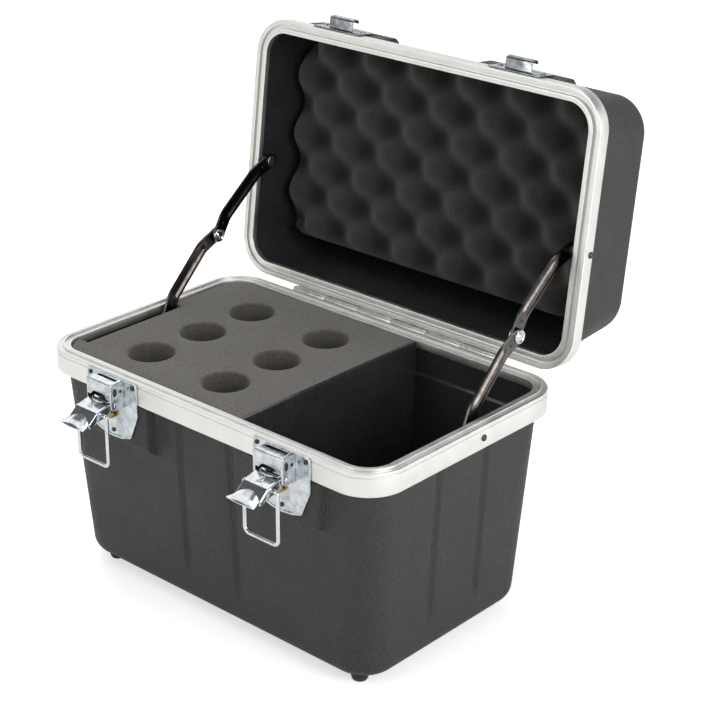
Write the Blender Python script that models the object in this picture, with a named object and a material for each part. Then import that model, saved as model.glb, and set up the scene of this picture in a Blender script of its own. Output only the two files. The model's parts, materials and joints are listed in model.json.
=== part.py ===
"""A moulded case for six hand-held microphones, open, with its latches undone.

Metres, +Z up. The origin is the centre of the base shell's underside, +X is the case's right end and
-Y its front. Every piece is drawn in rim coordinates, whose origin is the centre of the base's rim, and
the lid's pieces are drawn with the lid shut, then turned open about the hinge pin.
"""
import math

import bmesh
import bpy
from mathutils import Vector
from mathutils.geometry import tessellate_polygon

MM = 0.001
DEGREE = math.pi / 180

# Overall size
CASE_LENGTH = 360 * MM
CASE_DEPTH = 223.4 * MM
RIM_RADIUS = 32 * MM
BASE_HEIGHT = 187 * MM
LID_HEIGHT = 93.5 * MM
LID_OPEN = 97.4 * DEGREE

# Clearances and drawing steps
GAP = 0.3 * MM
OVERRUN = 5 * MM
SHARP_ANGLE = 35 * DEGREE
CORNER_STEPS = 6
EDGE_STEPS = 4
ROUND_STEPS = 12
FINE_STEPS = 20

# Thermoformed shells
SHELL_INSET = 7 * MM
WALL = 2.5 * MM
SHELL_RADIUS = 25 * MM
BASE_TAPER_X = 11.3 * MM
BASE_TAPER_Y = 9.1 * MM
BASE_FOOT_RADIUS = 28.7 * MM
BASE_EDGE = 13 * MM
LID_TAPER_X = 9.3 * MM
LID_TAPER_Y = 8.9 * MM
LID_TOP_RADIUS = 29.5 * MM
LID_EDGE = 12 * MM

# Grooves pressed into the base shell's walls
GROOVE_X_SHARE = 0.1892
GROOVE_Y_SHARE = 0.345
GROOVE_DEPTH = 2 * MM
GROOVE_HALF = 4 * MM
GROOVE_TOP = 9 * MM
GROOVE_FULL = 16 * MM
GROOVE_FADE = 148 * MM
GROOVE_END = 166 * MM
GROOVE_ACROSS_SHARES = (-1, -0.6, 0, 0.6, 1)
GROOVE_PUSH_SHARES = (0, 0.75, 1, 0.75, 0)

# Pads pressed out of the front walls behind the latches and the catches
LATCH_SHARE = 0.625
PAD_STEP = 0.4 * MM
BASE_PAD_HALF = 35.5 * MM
BASE_PAD_RAMP = 4 * MM
BASE_PAD_LOW = 56 * MM
BASE_PAD_END = 64 * MM
LID_PAD_MARGIN = 5.5 * MM
LID_PAD_RAMP = 7 * MM
LID_PAD_HIGH = 29 * MM
LID_PAD_END = 36 * MM

# Valances, the extruded rims that close on each other
VALANCE_WALL = 1.2 * MM
VALANCE_WIDTH = 11.5 * MM
VALANCE_RAIL = 7.5 * MM
BASE_VALANCE = 19 * MM
LID_VALANCE = 11.3 * MM
LIP_WALL = 0.9 * MM
BASE_LIP = 7 * MM
LID_LIP = 5.2 * MM
TONGUE_AT = 5.7 * MM
TONGUE_WIDTH = 2 * MM
TONGUE_HEIGHT = 1.5 * MM
TONGUE_PLAY = 0.4 * MM
TONGUE_ROOM = 0.6 * MM

# Feet
FOOT_IN_X = 42 * MM
FOOT_IN_Y = 34.7 * MM
FOOT_TOP = 8 * MM
FOOT_BOTTOM = 6 * MM
FOOT_HEIGHT = 8 * MM
FOOT_ROUND = 1 * MM
FOOT_SINK = 3 * MM
FOOT_BORE = 3.4 * MM
SCREW_RADIUS = 3 * MM
SCREW_HEAD = 1.6 * MM
SHANK_RADIUS = 1.5 * MM

# Foam block with its six drops, and the divider panel beside it
FOAM_TOP = 1.5 * MM
FOAM_LENGTH = 216 * MM
DROP_RADIUS = 19 * MM
DROP_DEPTH = 150 * MM
DROP_IN_X = 76 * MM
DROP_IN_Y = 51.7 * MM
DROP_PITCH_X = 85 * MM
DROP_PITCH_Y = 57 * MM
DROP_COLUMNS = 2
DROP_ROWS = 3
DIVIDER_THICKNESS = 2.5 * MM

# Hinge along the rear rim
HINGE_OUT = 3.3 * MM
HINGE_DOWN = 0.6 * MM
HINGE_LENGTH = 224 * MM
KNUCKLES = 6
KNUCKLE_GAP = 0.5 * MM
LEAF_WALL = 1 * MM
KNUCKLE_RADIUS = HINGE_OUT - GAP
PIN_RADIUS = 1.6 * MM
BASE_LEAF = 17 * MM
LID_LEAF = 10 * MM
LEAF_CLEAR = 3.2 * MM
CURL_TURN = 300 * DEGREE
CURL_STEPS = 8
HINGE_RIVETS = 6

# Folding stays inside both ends
STAY_BASE_BACK = 102.5 * MM
STAY_BASE_Z = -10 * MM
STAY_LID_BACK = 102 * MM
STAY_LID_Z = 8 * MM
STAY_LEAN = 3.367 * DEGREE
STAY_WALL = 2 * MM
STAY_IN = 17.3 * MM
STAY_PLANES_GAP = 0.8 * MM
STAY_HALF = 5.5 * MM
STAY_BEND = 17 * MM
STAY_OFFSET = 6.5 * MM
BEAD_LENGTH = 36 * MM
BEAD_RADIUS = 2.6 * MM
BEAD_PROUD = 1.2 * MM
BEAD_END_SHARES = (0.15, 0.6)
STAY_RIVET = 1.6 * MM
STAY_JOURNAL = 2.5 * MM
STAY_SHOULDER = 4 * MM
STAY_HEAD = 5 * MM
STAY_HEAD_HEIGHT = 1.4 * MM
ELBOW_HEAD = 6 * MM

# Latch back plate with the housing that stands on it
PLATE_WALL = 1.2 * MM
PLATE_HALF = 29 * MM
PLATE_TOP = 0.8 * MM
PLATE_SHOULDER = 29 * MM
PLATE_FOOT = 50 * MM
PLATE_FOOT_HALF = 20 * MM
PLATE_BOTTOM = 54 * MM
PLATE_DIP_SHARE = 0.75
HOUSING_HALF = 13.2 * MM
HOUSING_PROUD = 12.3 * MM
HOUSING_FRONT = 15.5 * MM
HOUSING_CHEEK = 23.8 * MM
HOUSING_SLOT_HALF = 10.8 * MM
HOUSING_SLOT_NEAR = 2.4 * MM
HOUSING_SLOT_FAR = 5.2 * MM
NOTCH_HALF = 9.5 * MM
NOTCH_RISE = 4.6 * MM
NOTCH_ACROSS_SHARE = 0.6
NOTCH_UP_SHARE = 0.8
CHEEK_HOLE_ACROSS = 2.1 * MM
CHEEK_HOLE_ALONG = 3.2 * MM
CHEEK_HOLE_OUT = 8.3 * MM
CHEEK_HOLE_DOWN = 8.6 * MM

# Lever
LEVER_OUT = 9.8 * MM
LEVER_DOWN = 19.5 * MM
LEVER_SLOPE = 14 * DEGREE
LEVER_WALL = 1 * MM
LEVER_HALF = 11.2 * MM
BARREL_RADIUS = 3.2 * MM
BARREL_TURN = 290 * DEGREE
LEVER_PIN = 1.9 * MM
PANEL_LENGTH = 18 * MM
PANEL_TWO_LENGTH = 10.6 * MM
PANEL_TWO_BEND = 24 * DEGREE
LIP_LENGTH = 7.5 * MM
LIP_BEND = 30 * DEGREE
LEVER_LIP_HALF = 13.7 * MM
FLANGE_DEPTH = 7.4 * MM
FLANGE_START = 4.5 * MM
CRESCENT_HALF = 8.5 * MM
CRESCENT_DEPTH = 4 * MM
CRESCENT_AT = 3.4 * MM
CRESCENT_STEPS = 6
LEVER_ACROSS_SHARES = (-1, -0.7, -0.35, 0, 0.35, 0.7, 1)

# Key plug in the lever and the post that it closes behind
KEY_ALONG = 11.8 * MM
KEY_RADIUS = 2.8 * MM
KEY_HEAD = 0.5 * MM
KEY_TAIL = 2.6 * MM
KEY_SLOT_HALF = 0.45 * MM
KEY_SLOT_REACH = 1.9 * MM
POST_DOWN = 34 * MM
POST_RADIUS = 3.2 * MM
POST_HEIGHT = 3.4 * MM
POST_CROWN_SHARE = 0.8

# Bail, carried by the lever
BAIL_ALONG = 13.3 * MM
BAIL_UNDER = 4.4 * MM
BAIL_WIRE = 1.7 * MM
BAIL_HALF = 16 * MM
BAIL_CORNER = 4 * MM
BAIL_END = 9.6 * MM
BAIL_PLAY = 0.3 * MM
BAIL_SIDES = 8

# Catches on the lid
CATCH_HALF = 25 * MM
CATCH_TOP = 23 * MM
CATCH_ROUND = 4 * MM
HOOK_HALF = 12.8 * MM
HOOK_FLOOR = 7.8 * MM
HOOK_OUT = 10.6 * MM
HOOK_RISE = 7 * MM
HOOK_CURL = 2.4 * MM
HOOK_TURN = 100 * DEGREE
HOOK_SEAT = 5 * MM

# Rivets through thin plates
RIVET_HEAD = 2.7 * MM
RIVET_HEIGHT = 1.1 * MM
RIVET_EDGE = 4.2 * MM
RIVET_CROWN_SHARE = 0.5
RIVET_SIDES = 8

# Foam in the lid
LID_FOAM_IN_X = 22.5 * MM
LID_FOAM_IN_FRONT = 17.7 * MM
LID_FOAM_IN_REAR = 33.7 * MM
LID_FOAM_PEAK = 30 * MM
CRATE_PITCH = 51 * MM
CRATE_SWING = 11 * MM
CRATE_STEPS = 5

# Carry handle on the lid
HANDLE_HALF = 52 * MM
HANDLE_REACH = 36 * MM
HANDLE_RISE = 7 * MM
HANDLE_THICK = 5 * MM
HANDLE_CORNER = 15 * MM
HANDLE_EYE = 5 * MM
HANDLE_PIN = 2 * MM
HANDLE_SIDES = 12
EAR_HALF = 3 * MM
EAR_REACH = 7 * MM
EAR_PLATE = 13 * MM
EAR_BASE = 2 * MM

# Places worked out from the sizes above
HALF_LENGTH = CASE_LENGTH / 2
HALF_DEPTH = CASE_DEPTH / 2
HINGE_Y = HALF_DEPTH + HINGE_OUT
HINGE_Z = -HINGE_DOWN
PLATE_BACK = -HALF_DEPTH - GAP
PLATE_FACE = PLATE_BACK - PLATE_WALL
RUN_X = HALF_LENGTH - SHELL_INSET - SHELL_RADIUS
RUN_Y = HALF_DEPTH - SHELL_INSET - SHELL_RADIUS
LATCH_X = RUN_X * LATCH_SHARE
LID_PAD_HALF = RUN_X - LATCH_X - LID_PAD_RAMP - LID_PAD_MARGIN
GROOVE_X = RUN_X * GROOVE_X_SHARE
GROOVE_Y = RUN_Y * GROOVE_Y_SHARE
FOOT_X = HALF_LENGTH - FOOT_IN_X
FOOT_Y = HALF_DEPTH - FOOT_IN_Y
FOAM_RIGHT = FOAM_LENGTH - HALF_LENGTH
STAY_BASE_Y = HINGE_Y - STAY_BASE_BACK
STAY_LID_Y = HINGE_Y - STAY_LID_BACK
STAY_LOWER_X = HALF_LENGTH - STAY_IN
STAY_UPPER_X = STAY_LOWER_X - STAY_PLANES_GAP - STAY_WALL
LID_FOAM_HALF = HALF_LENGTH - LID_FOAM_IN_X
LID_FOAM_FRONT = LID_FOAM_IN_FRONT - HALF_DEPTH
LID_FOAM_REAR = HALF_DEPTH - LID_FOAM_IN_REAR


def material(name, colour, roughness, metallic=0.0):
    """A plain Principled surface."""
    surface = bpy.data.materials.new(name)
    surface.use_nodes = True
    principled = surface.node_tree.nodes["Principled BSDF"]
    principled.inputs["Base Color"].default_value = (*colour, 1)
    principled.inputs["Roughness"].default_value = roughness
    principled.inputs["Metallic"].default_value = metallic
    return surface


def empty(name, parent=None, place=(0, 0, 0), turn=0.0):
    """A frame that carries pieces, turned about its X axis."""
    frame = bpy.data.objects.new(name, None)
    frame.parent = parent
    frame.location = place
    frame.rotation_euler = (turn, 0, 0)
    bpy.context.scene.collection.objects.link(frame)
    return frame


def piece(name, shapes, surface=None, parent=None, place=(0, 0, 0), turn=0.0):
    """One mesh object made of one or more closed shapes, each a pair of points and faces."""
    work = bmesh.new()
    for points, faces in shapes:
        corners = [work.verts.new(point) for point in points]
        for face in faces:
            work.faces.new([corners[index] for index in face])
    bmesh.ops.recalc_face_normals(work, faces=work.faces)
    mesh = bpy.data.meshes.new(name)
    work.to_mesh(mesh)
    work.free()
    made = bpy.data.objects.new(name, mesh)
    made.parent = parent
    made.location = place
    made.rotation_euler = (turn, 0, 0)
    bpy.context.scene.collection.objects.link(made)
    if surface:
        mesh.materials.append(surface)
    mesh.shade_smooth()
    mesh.set_sharp_from_angle(angle=SHARP_ANGLE)
    return made


def combine(made, name, shapes, operation):
    """Joins hidden shapes to a piece, or cuts them out of it, in the piece's own frame."""
    tool = piece(name, shapes, None, made)
    tool.hide_render = True
    tool.display_type = "WIRE"
    change = made.modifiers.new(name, "BOOLEAN")
    change.operation = operation
    change.solver = "EXACT"
    change.object = tool


def moved(shape, x=0.0, y=0.0, z=0.0):
    points, faces = shape
    return [(point[0] + x, point[1] + y, point[2] + z) for point in points], faces


def mirrored(shape, side):
    """The shape itself for the right side, or its mirror image in x for the left."""
    points, faces = shape
    return [(point[0] * side, point[1], point[2]) for point in points], faces


def loft(rings, closed=False):
    """A skin over rings of equally many points, capped at both ends unless it closes on itself.

    Every diagonal rises the same way round, so that nested skins bend alike.
    """
    count = len(rings[0])
    points = [point for ring in rings for point in ring]
    faces = []
    for low in range(len(rings) if closed else len(rings) - 1):
        high = (low + 1) % len(rings)
        for here in range(count):
            there = (here + 1) % count
            near = (low * count + here, low * count + there)
            far = (high * count + here, high * count + there)
            if points[near[0]][2] < points[far[0]][2]:
                faces += [(near[0], near[1], far[1]), (near[0], far[1], far[0])]
            else:
                faces += [(near[1], far[1], far[0]), (near[1], far[0], near[0])]
    if not closed:
        faces.append(tuple(range(count)))
        faces.append(tuple((len(rings) - 1) * count + index for index in range(count)))
    return points, faces


def prism(axis, outline, low, high, holes=()):
    """A flat outline with holes, extruded along an axis. The outline's two values are the other axes."""
    order = {"X": lambda a, b, c: (c, a, b), "Y": lambda a, b, c: (a, c, b), "Z": lambda a, b, c: (a, b, c)}
    put = order[axis]
    loops = [list(outline)] + [list(hole) for hole in holes]
    flat = [point for loop in loops for point in loop]
    count = len(flat)
    points = [put(a, b, low) for a, b in flat] + [put(a, b, high) for a, b in flat]
    faces = []
    for triangle in tessellate_polygon([[Vector((a, b, 0)) for a, b in loop] for loop in loops]):
        faces.append(tuple(triangle))
        faces.append(tuple(index + count for index in reversed(triangle)))
    start = 0
    for loop in loops:
        for index in range(len(loop)):
            here = start + index
            there = start + (index + 1) % len(loop)
            faces.append((here, there, there + count, here + count))
        start += len(loop)
    return points, faces


def turned(axis, profile, steps=ROUND_STEPS):
    """A solid of revolution about an axis. The profile's pairs are places along it and radii."""
    order = {"X": lambda s, a, b: (s, a, b), "Y": lambda s, a, b: (b, s, a), "Z": lambda s, a, b: (a, b, s)}
    put = order[axis]
    rings = []
    for along, radius in profile:
        ring = []
        for step in range(steps):
            angle = 2 * math.pi * step / steps
            ring.append(put(along, radius * math.cos(angle), radius * math.sin(angle)))
        rings.append(ring)
    return loft(rings)


def circle(a, b, radius, steps=ROUND_STEPS):
    angles = [2 * math.pi * step / steps for step in range(steps)]
    return [(a + radius * math.cos(angle), b + radius * math.sin(angle)) for angle in angles]


def arc(a, b, radius, start, turn, steps):
    """Points on an arc about (a, b), both ends included."""
    angles = [start + turn * step / steps for step in range(steps + 1)]
    return [(a + radius * math.cos(angle), b + radius * math.sin(angle)) for angle in angles]


def band(path, thickness, round_ends=0):
    """The outline of a strip of even thickness along an open path, its ends square or rounded."""
    half = thickness / 2
    places = [Vector(point) for point in path]
    left = []
    right = []
    for index, here in enumerate(places):
        before = (here - places[index - 1]).normalized() if index else None
        after = (places[index + 1] - here).normalized() if index + 1 < len(places) else None
        along = ((before or after) + (after or before)).normalized()
        lean = along.dot(after or before)
        across = Vector((-along.y, along.x)) * (half / lean)
        left.append(tuple(here + across))
        right.append(tuple(here - across))
    if not round_ends:
        return left + right[::-1]
    first = places[0]
    last = places[-1]
    heading = places[1] - first
    leaving = last - places[-2]
    start = math.atan2(heading.y, heading.x) - math.pi / 2
    finish = math.atan2(leaving.y, leaving.x) + math.pi / 2
    nose = arc(last.x, last.y, half, finish, -math.pi, round_ends)
    tail = arc(first.x, first.y, half, start, -math.pi, round_ends)
    return left[1:-1] + nose + right[1:-1][::-1] + tail


def slot(a, b, turn, length, half):
    """A slot's outline, round at both ends, centred on (a, b)."""
    reach = Vector((math.cos(turn), math.sin(turn))) * (length / 2 - half)
    middle = Vector((a, b))
    return band([tuple(middle - reach), tuple(middle + reach)], 2 * half, ROUND_STEPS // 2)


def block(low, high):
    outline = [(low[0], low[1]), (high[0], low[1]), (high[0], high[1]), (low[0], high[1])]
    return prism("Z", outline, low[2], high[2])


def wire(path, radius, sides):
    """A round wire along an open path of points in space."""
    places = [Vector(point) for point in path]
    rings = []
    across = None
    for index, here in enumerate(places):
        before = (here - places[index - 1]).normalized() if index else None
        after = (places[index + 1] - here).normalized() if index + 1 < len(places) else None
        along = ((before or after) + (after or before)).normalized()
        if across is None:
            across = along.orthogonal().normalized()
        across = (across - along * across.dot(along)).normalized()
        up = along.cross(across)
        turns = [2 * math.pi * step / sides for step in range(sides)]
        ring = [tuple(here + radius * (math.cos(turn) * across + math.sin(turn) * up)) for turn in turns]
        rings.append(ring)
    return loft(rings)


class Shell:
    """A tapered, rounded, thin-walled shell. Depth is counted from the rim towards its closed end."""

    def __init__(self, height, taper_x, taper_y, end_radius, edge, direction, reliefs):
        self.height = height
        self.taper_x = taper_x
        self.taper_y = taper_y
        self.end_radius = end_radius
        self.edge = edge
        self.direction = direction
        self.reliefs = reliefs

    def inset(self, depth, side=0):
        """How far the outer face lies inside the valance's outer face: side 0 front, 1 end."""
        taper = self.taper_x if side % 2 else self.taper_y
        return SHELL_INSET + taper * depth / self.height

    def radius(self, depth):
        return SHELL_RADIUS + (self.end_radius - SHELL_RADIUS) * depth / self.height

    def ring(self, depth, inward, skin):
        """One loop of the surface that lies skin inside the outer face, drawn in further by inward."""
        draw = skin + inward
        half_x = HALF_LENGTH - self.inset(depth, 1) - draw
        half_y = HALF_DEPTH - self.inset(depth, 0) - draw
        radius = self.radius(depth) - draw
        level = self.direction * depth
        points = []
        for side in range(4):
            out = half_x if side % 2 else half_y
            run = (half_y if side % 2 else half_x) - radius
            places = [(-run, out)]
            for relief in self.reliefs:
                if side in relief.sides:
                    places += relief.places(self, depth, side, out, run, skin)
            places.append((run, out))
            for step in range(1, CORNER_STEPS):
                angle = math.pi / 2 * step / CORNER_STEPS
                places.append((run + radius * math.sin(angle), out - radius + radius * math.cos(angle)))
            cosine = (1, 0, -1, 0)[side]
            sine = (0, 1, 0, -1)[side]
            for along, away in places:
                points.append((along * cosine + away * sine, along * sine - away * cosine, level))
        return points

    def rings(self, start, skin):
        """All loops of a surface, from the rim to the flat closed end."""
        centre = self.height - self.edge
        depths = {start, centre}
        for relief in self.reliefs:
            depths.update(depth for depth, share in relief.levels(skin) if start < depth < centre)
        rings = [self.ring(depth, 0, skin) for depth in sorted(depths)]
        bend = self.edge - skin
        for step in range(1, EDGE_STEPS + 1):
            angle = math.pi / 2 * step / EDGE_STEPS
            rings.append(self.ring(centre + bend * math.sin(angle), bend * (1 - math.cos(angle)), skin))
        return rings

    def solid(self, start):
        """The shell itself, from its rim edge at the start depth."""
        return loft(self.rings(start, WALL)[::-1] + self.rings(start, 0))


class Relief:
    """Something pressed into a shell's wall, with columns across it and levels down it."""

    def __init__(self, sides, centre, across, pushes, depths, outward):
        self.sides = sides
        self.centre = centre
        self.across = across
        self.pushes = pushes
        self.depths = depths
        self.outward = outward

    def levels(self, skin):
        """Pairs of depth and share. An outward pad is lower and shorter on the wall's inside."""
        shift = (skin, skin, -skin, -skin) if self.outward else (0, 0, 0, 0)
        return [(depth + move, share) for (depth, share), move in zip(self.depths, shift)]

    def share(self, depth, skin):
        levels = self.levels(skin)
        for (low, first), (high, second) in zip(levels, levels[1:]):
            if low <= depth <= high:
                return first + (second - first) * (depth - low) / (high - low)
        return 0

    def places(self, shell, depth, side, out, run, skin):
        """The relief's columns: a pad follows the wall as it narrows, and a groove stays upright."""
        amount = self.share(depth, skin)
        full = shell.inset(depth, side) if self.outward else -GROOVE_DEPTH
        spread = -skin if self.outward else skin / 2
        follow = run / RUN_X if self.outward else 1
        found = []
        for offset, push in zip(self.across, self.pushes):
            aside = offset + spread * math.copysign(1, offset) if offset else 0
            found.append(((self.centre + aside) * follow, out + full * push * amount))
        return found


def groove(sides, centre):
    across = [GROOVE_HALF * share for share in GROOVE_ACROSS_SHARES]
    depths = [(GROOVE_TOP, 0), (GROOVE_FULL, 1), (GROOVE_FADE, 1), (GROOVE_END, 0)]
    return Relief(sides, centre, across, GROOVE_PUSH_SHARES, depths, False)


def pad(centre, half, ramp, top, low, end):
    """A pad on a front wall, which comes out flush with the valance."""
    across = (-half - ramp, -half, half, half + ramp)
    depths = [(top, 0), (top + PAD_STEP, 1), (low, 1), (end, 0)]
    return Relief((0,), centre, across, (0, 1, 1, 0), depths, True)


def base_form(pads=True):
    """The base shell's form. What stands inside it follows the grooves and bridges the pads' hollows."""
    sizes = (BASE_PAD_HALF, BASE_PAD_RAMP, BASE_VALANCE + GAP, BASE_PAD_LOW, BASE_PAD_END)
    reliefs = []
    for side in (-1, 1):
        reliefs.append(groove((0, 2), side * GROOVE_X))
        reliefs.append(groove((1, 3), side * GROOVE_Y))
    if pads:
        reliefs = [pad(-LATCH_X, *sizes)] + reliefs + [pad(LATCH_X, *sizes)]
    return Shell(BASE_HEIGHT, BASE_TAPER_X, BASE_TAPER_Y, BASE_FOOT_RADIUS, BASE_EDGE, -1, reliefs)


def lid_form():
    sizes = (LID_PAD_HALF, LID_PAD_RAMP, LID_VALANCE + 2 * GAP, LID_PAD_HIGH, LID_PAD_END)
    reliefs = [pad(side * LATCH_X, *sizes) for side in (-1, 1)]
    return Shell(LID_HEIGHT, LID_TAPER_X, LID_TAPER_Y, LID_TOP_RADIUS, LID_EDGE, 1, reliefs)


def valance(profile):
    """A profile swept round the rim. Its pairs are places inward of the outer face and levels."""
    rings = []
    for inward, level in profile:
        radius = RIM_RADIUS - inward
        run_x = HALF_LENGTH - RIM_RADIUS
        run_y = HALF_DEPTH - RIM_RADIUS
        ring = []
        for corner, (x, y) in enumerate(((run_x, -run_y), (run_x, run_y), (-run_x, run_y), (-run_x, -run_y))):
            for a, b in arc(x, y, radius, (corner - 1) * math.pi / 2, math.pi / 2, CORNER_STEPS):
                ring.append((a, b, level))
        rings.append(ring)
    return loft(rings, closed=True)


def pin_cutter(y, z):
    """A bar through both ends of the case, which leaves room for the stays' rivets."""
    reach = HALF_LENGTH + OVERRUN
    radius = STAY_RIVET + GAP
    return moved(turned("X", [(-reach, radius), (reach, radius)]), 0, y, z)


def make_base_shell(rim, surface):
    form = base_form()
    made = piece("base_shell", [form.solid(VALANCE_WALL + GAP)], surface, rim)
    combine(made, "base_shell_stay_holes", [pin_cutter(STAY_BASE_Y, STAY_BASE_Z)], "DIFFERENCE")


def make_base_valance(rim, surface):
    tongue = TONGUE_AT - TONGUE_WIDTH / 2
    lip = VALANCE_WIDTH - LIP_WALL
    profile = [
        (0, 0), (tongue, 0), (tongue, TONGUE_HEIGHT), (tongue + TONGUE_WIDTH, TONGUE_HEIGHT),
        (tongue + TONGUE_WIDTH, 0), (VALANCE_WIDTH, 0), (VALANCE_WIDTH, -BASE_LIP), (lip, -BASE_LIP),
        (lip, -VALANCE_WALL), (VALANCE_WALL, -VALANCE_WALL), (VALANCE_WALL, VALANCE_WALL - BASE_VALANCE),
        (VALANCE_RAIL, VALANCE_WALL - BASE_VALANCE), (VALANCE_RAIL, -BASE_VALANCE), (0, -BASE_VALANCE),
    ]
    made = piece("base_valance", [valance(profile)], surface, rim)
    combine(made, "base_valance_stay_holes", [pin_cutter(STAY_BASE_Y, STAY_BASE_Z)], "DIFFERENCE")


def groove_room():
    """The lid valance's channel: its two sides, its roof and the wall folded over it."""
    near = TONGUE_AT - TONGUE_WIDTH / 2 - TONGUE_PLAY
    far = TONGUE_AT + TONGUE_WIDTH / 2 + TONGUE_PLAY
    roof = GAP + TONGUE_HEIGHT + TONGUE_ROOM
    return near, far, roof


def make_lid_valance(lid, surface):
    near, far, roof = groove_room()
    lip = VALANCE_WIDTH - LIP_WALL
    inner = GAP + VALANCE_WALL
    profile = [
        (0, GAP), (near, GAP), (near, roof), (far, roof), (far, GAP), (VALANCE_WIDTH, GAP),
        (VALANCE_WIDTH, LID_LIP), (lip, LID_LIP), (lip, inner), (far + VALANCE_WALL, inner),
        (far + VALANCE_WALL, roof + VALANCE_WALL), (near - VALANCE_WALL, roof + VALANCE_WALL),
        (near - VALANCE_WALL, inner), (VALANCE_WALL, inner), (VALANCE_WALL, LID_VALANCE - VALANCE_WALL),
        (VALANCE_RAIL, LID_VALANCE - VALANCE_WALL), (VALANCE_RAIL, LID_VALANCE), (0, LID_VALANCE),
    ]
    made = piece("lid_valance", [valance(profile)], surface, lid, (0, -HINGE_Y, -HINGE_Z))
    combine(made, "lid_valance_stay_holes", [pin_cutter(STAY_LID_Y, STAY_LID_Z)], "DIFFERENCE")


def make_lid_shell(lid, surface):
    roof = groove_room()[2]
    form = lid_form()
    made = piece("lid_shell", [form.solid(roof + VALANCE_WALL + GAP)], surface, lid, (0, -HINGE_Y, -HINGE_Z))
    combine(made, "lid_shell_stay_holes", [pin_cutter(STAY_LID_Y, STAY_LID_Z)], "DIFFERENCE")


def make_feet(rim, rubber, steel):
    """Four rubber feet, each with a sunk screw head."""
    low = -FOOT_HEIGHT
    round_low = FOOT_BOTTOM + (FOOT_TOP - FOOT_BOTTOM) * FOOT_ROUND / FOOT_HEIGHT
    profile = [
        (-GAP, SHANK_RADIUS + GAP), (low + FOOT_SINK, SHANK_RADIUS + GAP), (low + FOOT_SINK, FOOT_BORE),
        (low, FOOT_BORE), (low, FOOT_BOTTOM - FOOT_ROUND / 2), (low + FOOT_ROUND, round_low),
        (-GAP, FOOT_TOP),
    ]
    head = low + FOOT_SINK - GAP
    screw = [(head - SCREW_HEAD, SCREW_RADIUS - FOOT_ROUND / 2), (head - SCREW_HEAD / 2, SCREW_RADIUS)]
    screw += [(head, SCREW_RADIUS), (head, SHANK_RADIUS), (-GAP, SHANK_RADIUS)]
    for y, depth_name in ((-FOOT_Y, "front"), (FOOT_Y, "rear")):
        for x, side_name in ((-FOOT_X, "left"), (FOOT_X, "right")):
            name = f"{depth_name}_{side_name}"
            piece(f"foot_{name}", [loft_ring(profile)], rubber, rim, (x, y, -BASE_HEIGHT))
            piece(f"foot_screw_{name}", [turned("Z", screw)], steel, rim, (x, y, -BASE_HEIGHT))


def loft_ring(profile, steps=FINE_STEPS):
    """A turned ring about the Z axis, open along its middle."""
    rings = []
    for level, radius in profile:
        rings.append([(a, b, level) for a, b in circle(0, 0, radius, steps)])
    return loft(rings, closed=True)


def make_foam_block(rim, surface):
    """The block fills the left part of the base, with six blind drops and room for the folded stay."""
    skin = WALL + GAP
    form = base_form(pads=False)
    under_lip = VALANCE_WIDTH - SHELL_INSET - WALL
    below = BASE_LIP + GAP
    rings = [form.ring(depth, under_lip, skin) for depth in (FOAM_TOP, below)] + form.rings(below, skin)
    made = piece("foam_block", [loft(rings)], surface, rim)
    reach = HALF_LENGTH + OVERRUN
    right = block((FOAM_RIGHT, -reach, -BASE_HEIGHT - OVERRUN), (reach, reach, OVERRUN))
    combine(made, "foam_block_right_side", [right], "DIFFERENCE")
    drops = []
    for column in range(DROP_COLUMNS):
        for row in range(DROP_ROWS):
            x = DROP_IN_X - HALF_LENGTH + column * DROP_PITCH_X
            y = DROP_IN_Y - HALF_DEPTH + row * DROP_PITCH_Y
            drop = turned("Z", [(-DROP_DEPTH, DROP_RADIUS), (OVERRUN, DROP_RADIUS)], FINE_STEPS)
            drops.append(moved(drop, x, y))
    inner = STAY_UPPER_X - STAY_HEAD_HEIGHT - 2 * GAP
    front = STAY_BASE_Y - stay_pose()[0] - STAY_HALF - ELBOW_HEAD
    low = STAY_BASE_Z - STAY_OFFSET - 2 * STAY_HALF
    stay = block((-reach, front, low), (-inner, STAY_BASE_Y + 2 * STAY_HEAD, OVERRUN))
    combine(made, "foam_block_drops", drops, "DIFFERENCE")
    combine(made, "foam_block_stay_room", [stay], "DIFFERENCE")


def make_divider(rim, surface):
    """A panel that follows the walls and stands against the foam."""
    low = FOAM_RIGHT + GAP
    form = base_form()
    under_lip = HALF_DEPTH - VALANCE_WIDTH - GAP
    below = BASE_LIP + GAP
    across = [(under_lip, -FOAM_TOP), (under_lip, -below)]
    for depth in (below, BASE_HEIGHT - BASE_EDGE):
        across.append((HALF_DEPTH - form.inset(depth) - WALL - GAP, -depth))
    half_low = across[-1][0]
    bend = BASE_EDGE - WALL - GAP
    corner = arc(half_low - bend, bend - BASE_HEIGHT + WALL + GAP, bend, 0, -math.pi / 2, EDGE_STEPS)
    right = across[:-1] + corner
    outline = right + [(-a, b) for a, b in right[::-1]]
    piece("divider_panel", [prism("X", outline, low, low + DIVIDER_THICKNESS)], surface, rim)


def dome(x, z, face, thickness, direction=-1):
    """A rivet's domed head on a plate's face, rooted in the plate. It faces -Y when direction is -1."""
    profile = [(face - direction * thickness / 2, RIVET_HEAD)]
    profile.append((face + direction * RIVET_HEIGHT / 2, RIVET_HEAD))
    profile.append((face + direction * RIVET_HEIGHT, RIVET_HEAD * RIVET_CROWN_SHARE))
    return moved(turned("Y", profile, RIVET_SIDES), x, 0, z)


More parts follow.
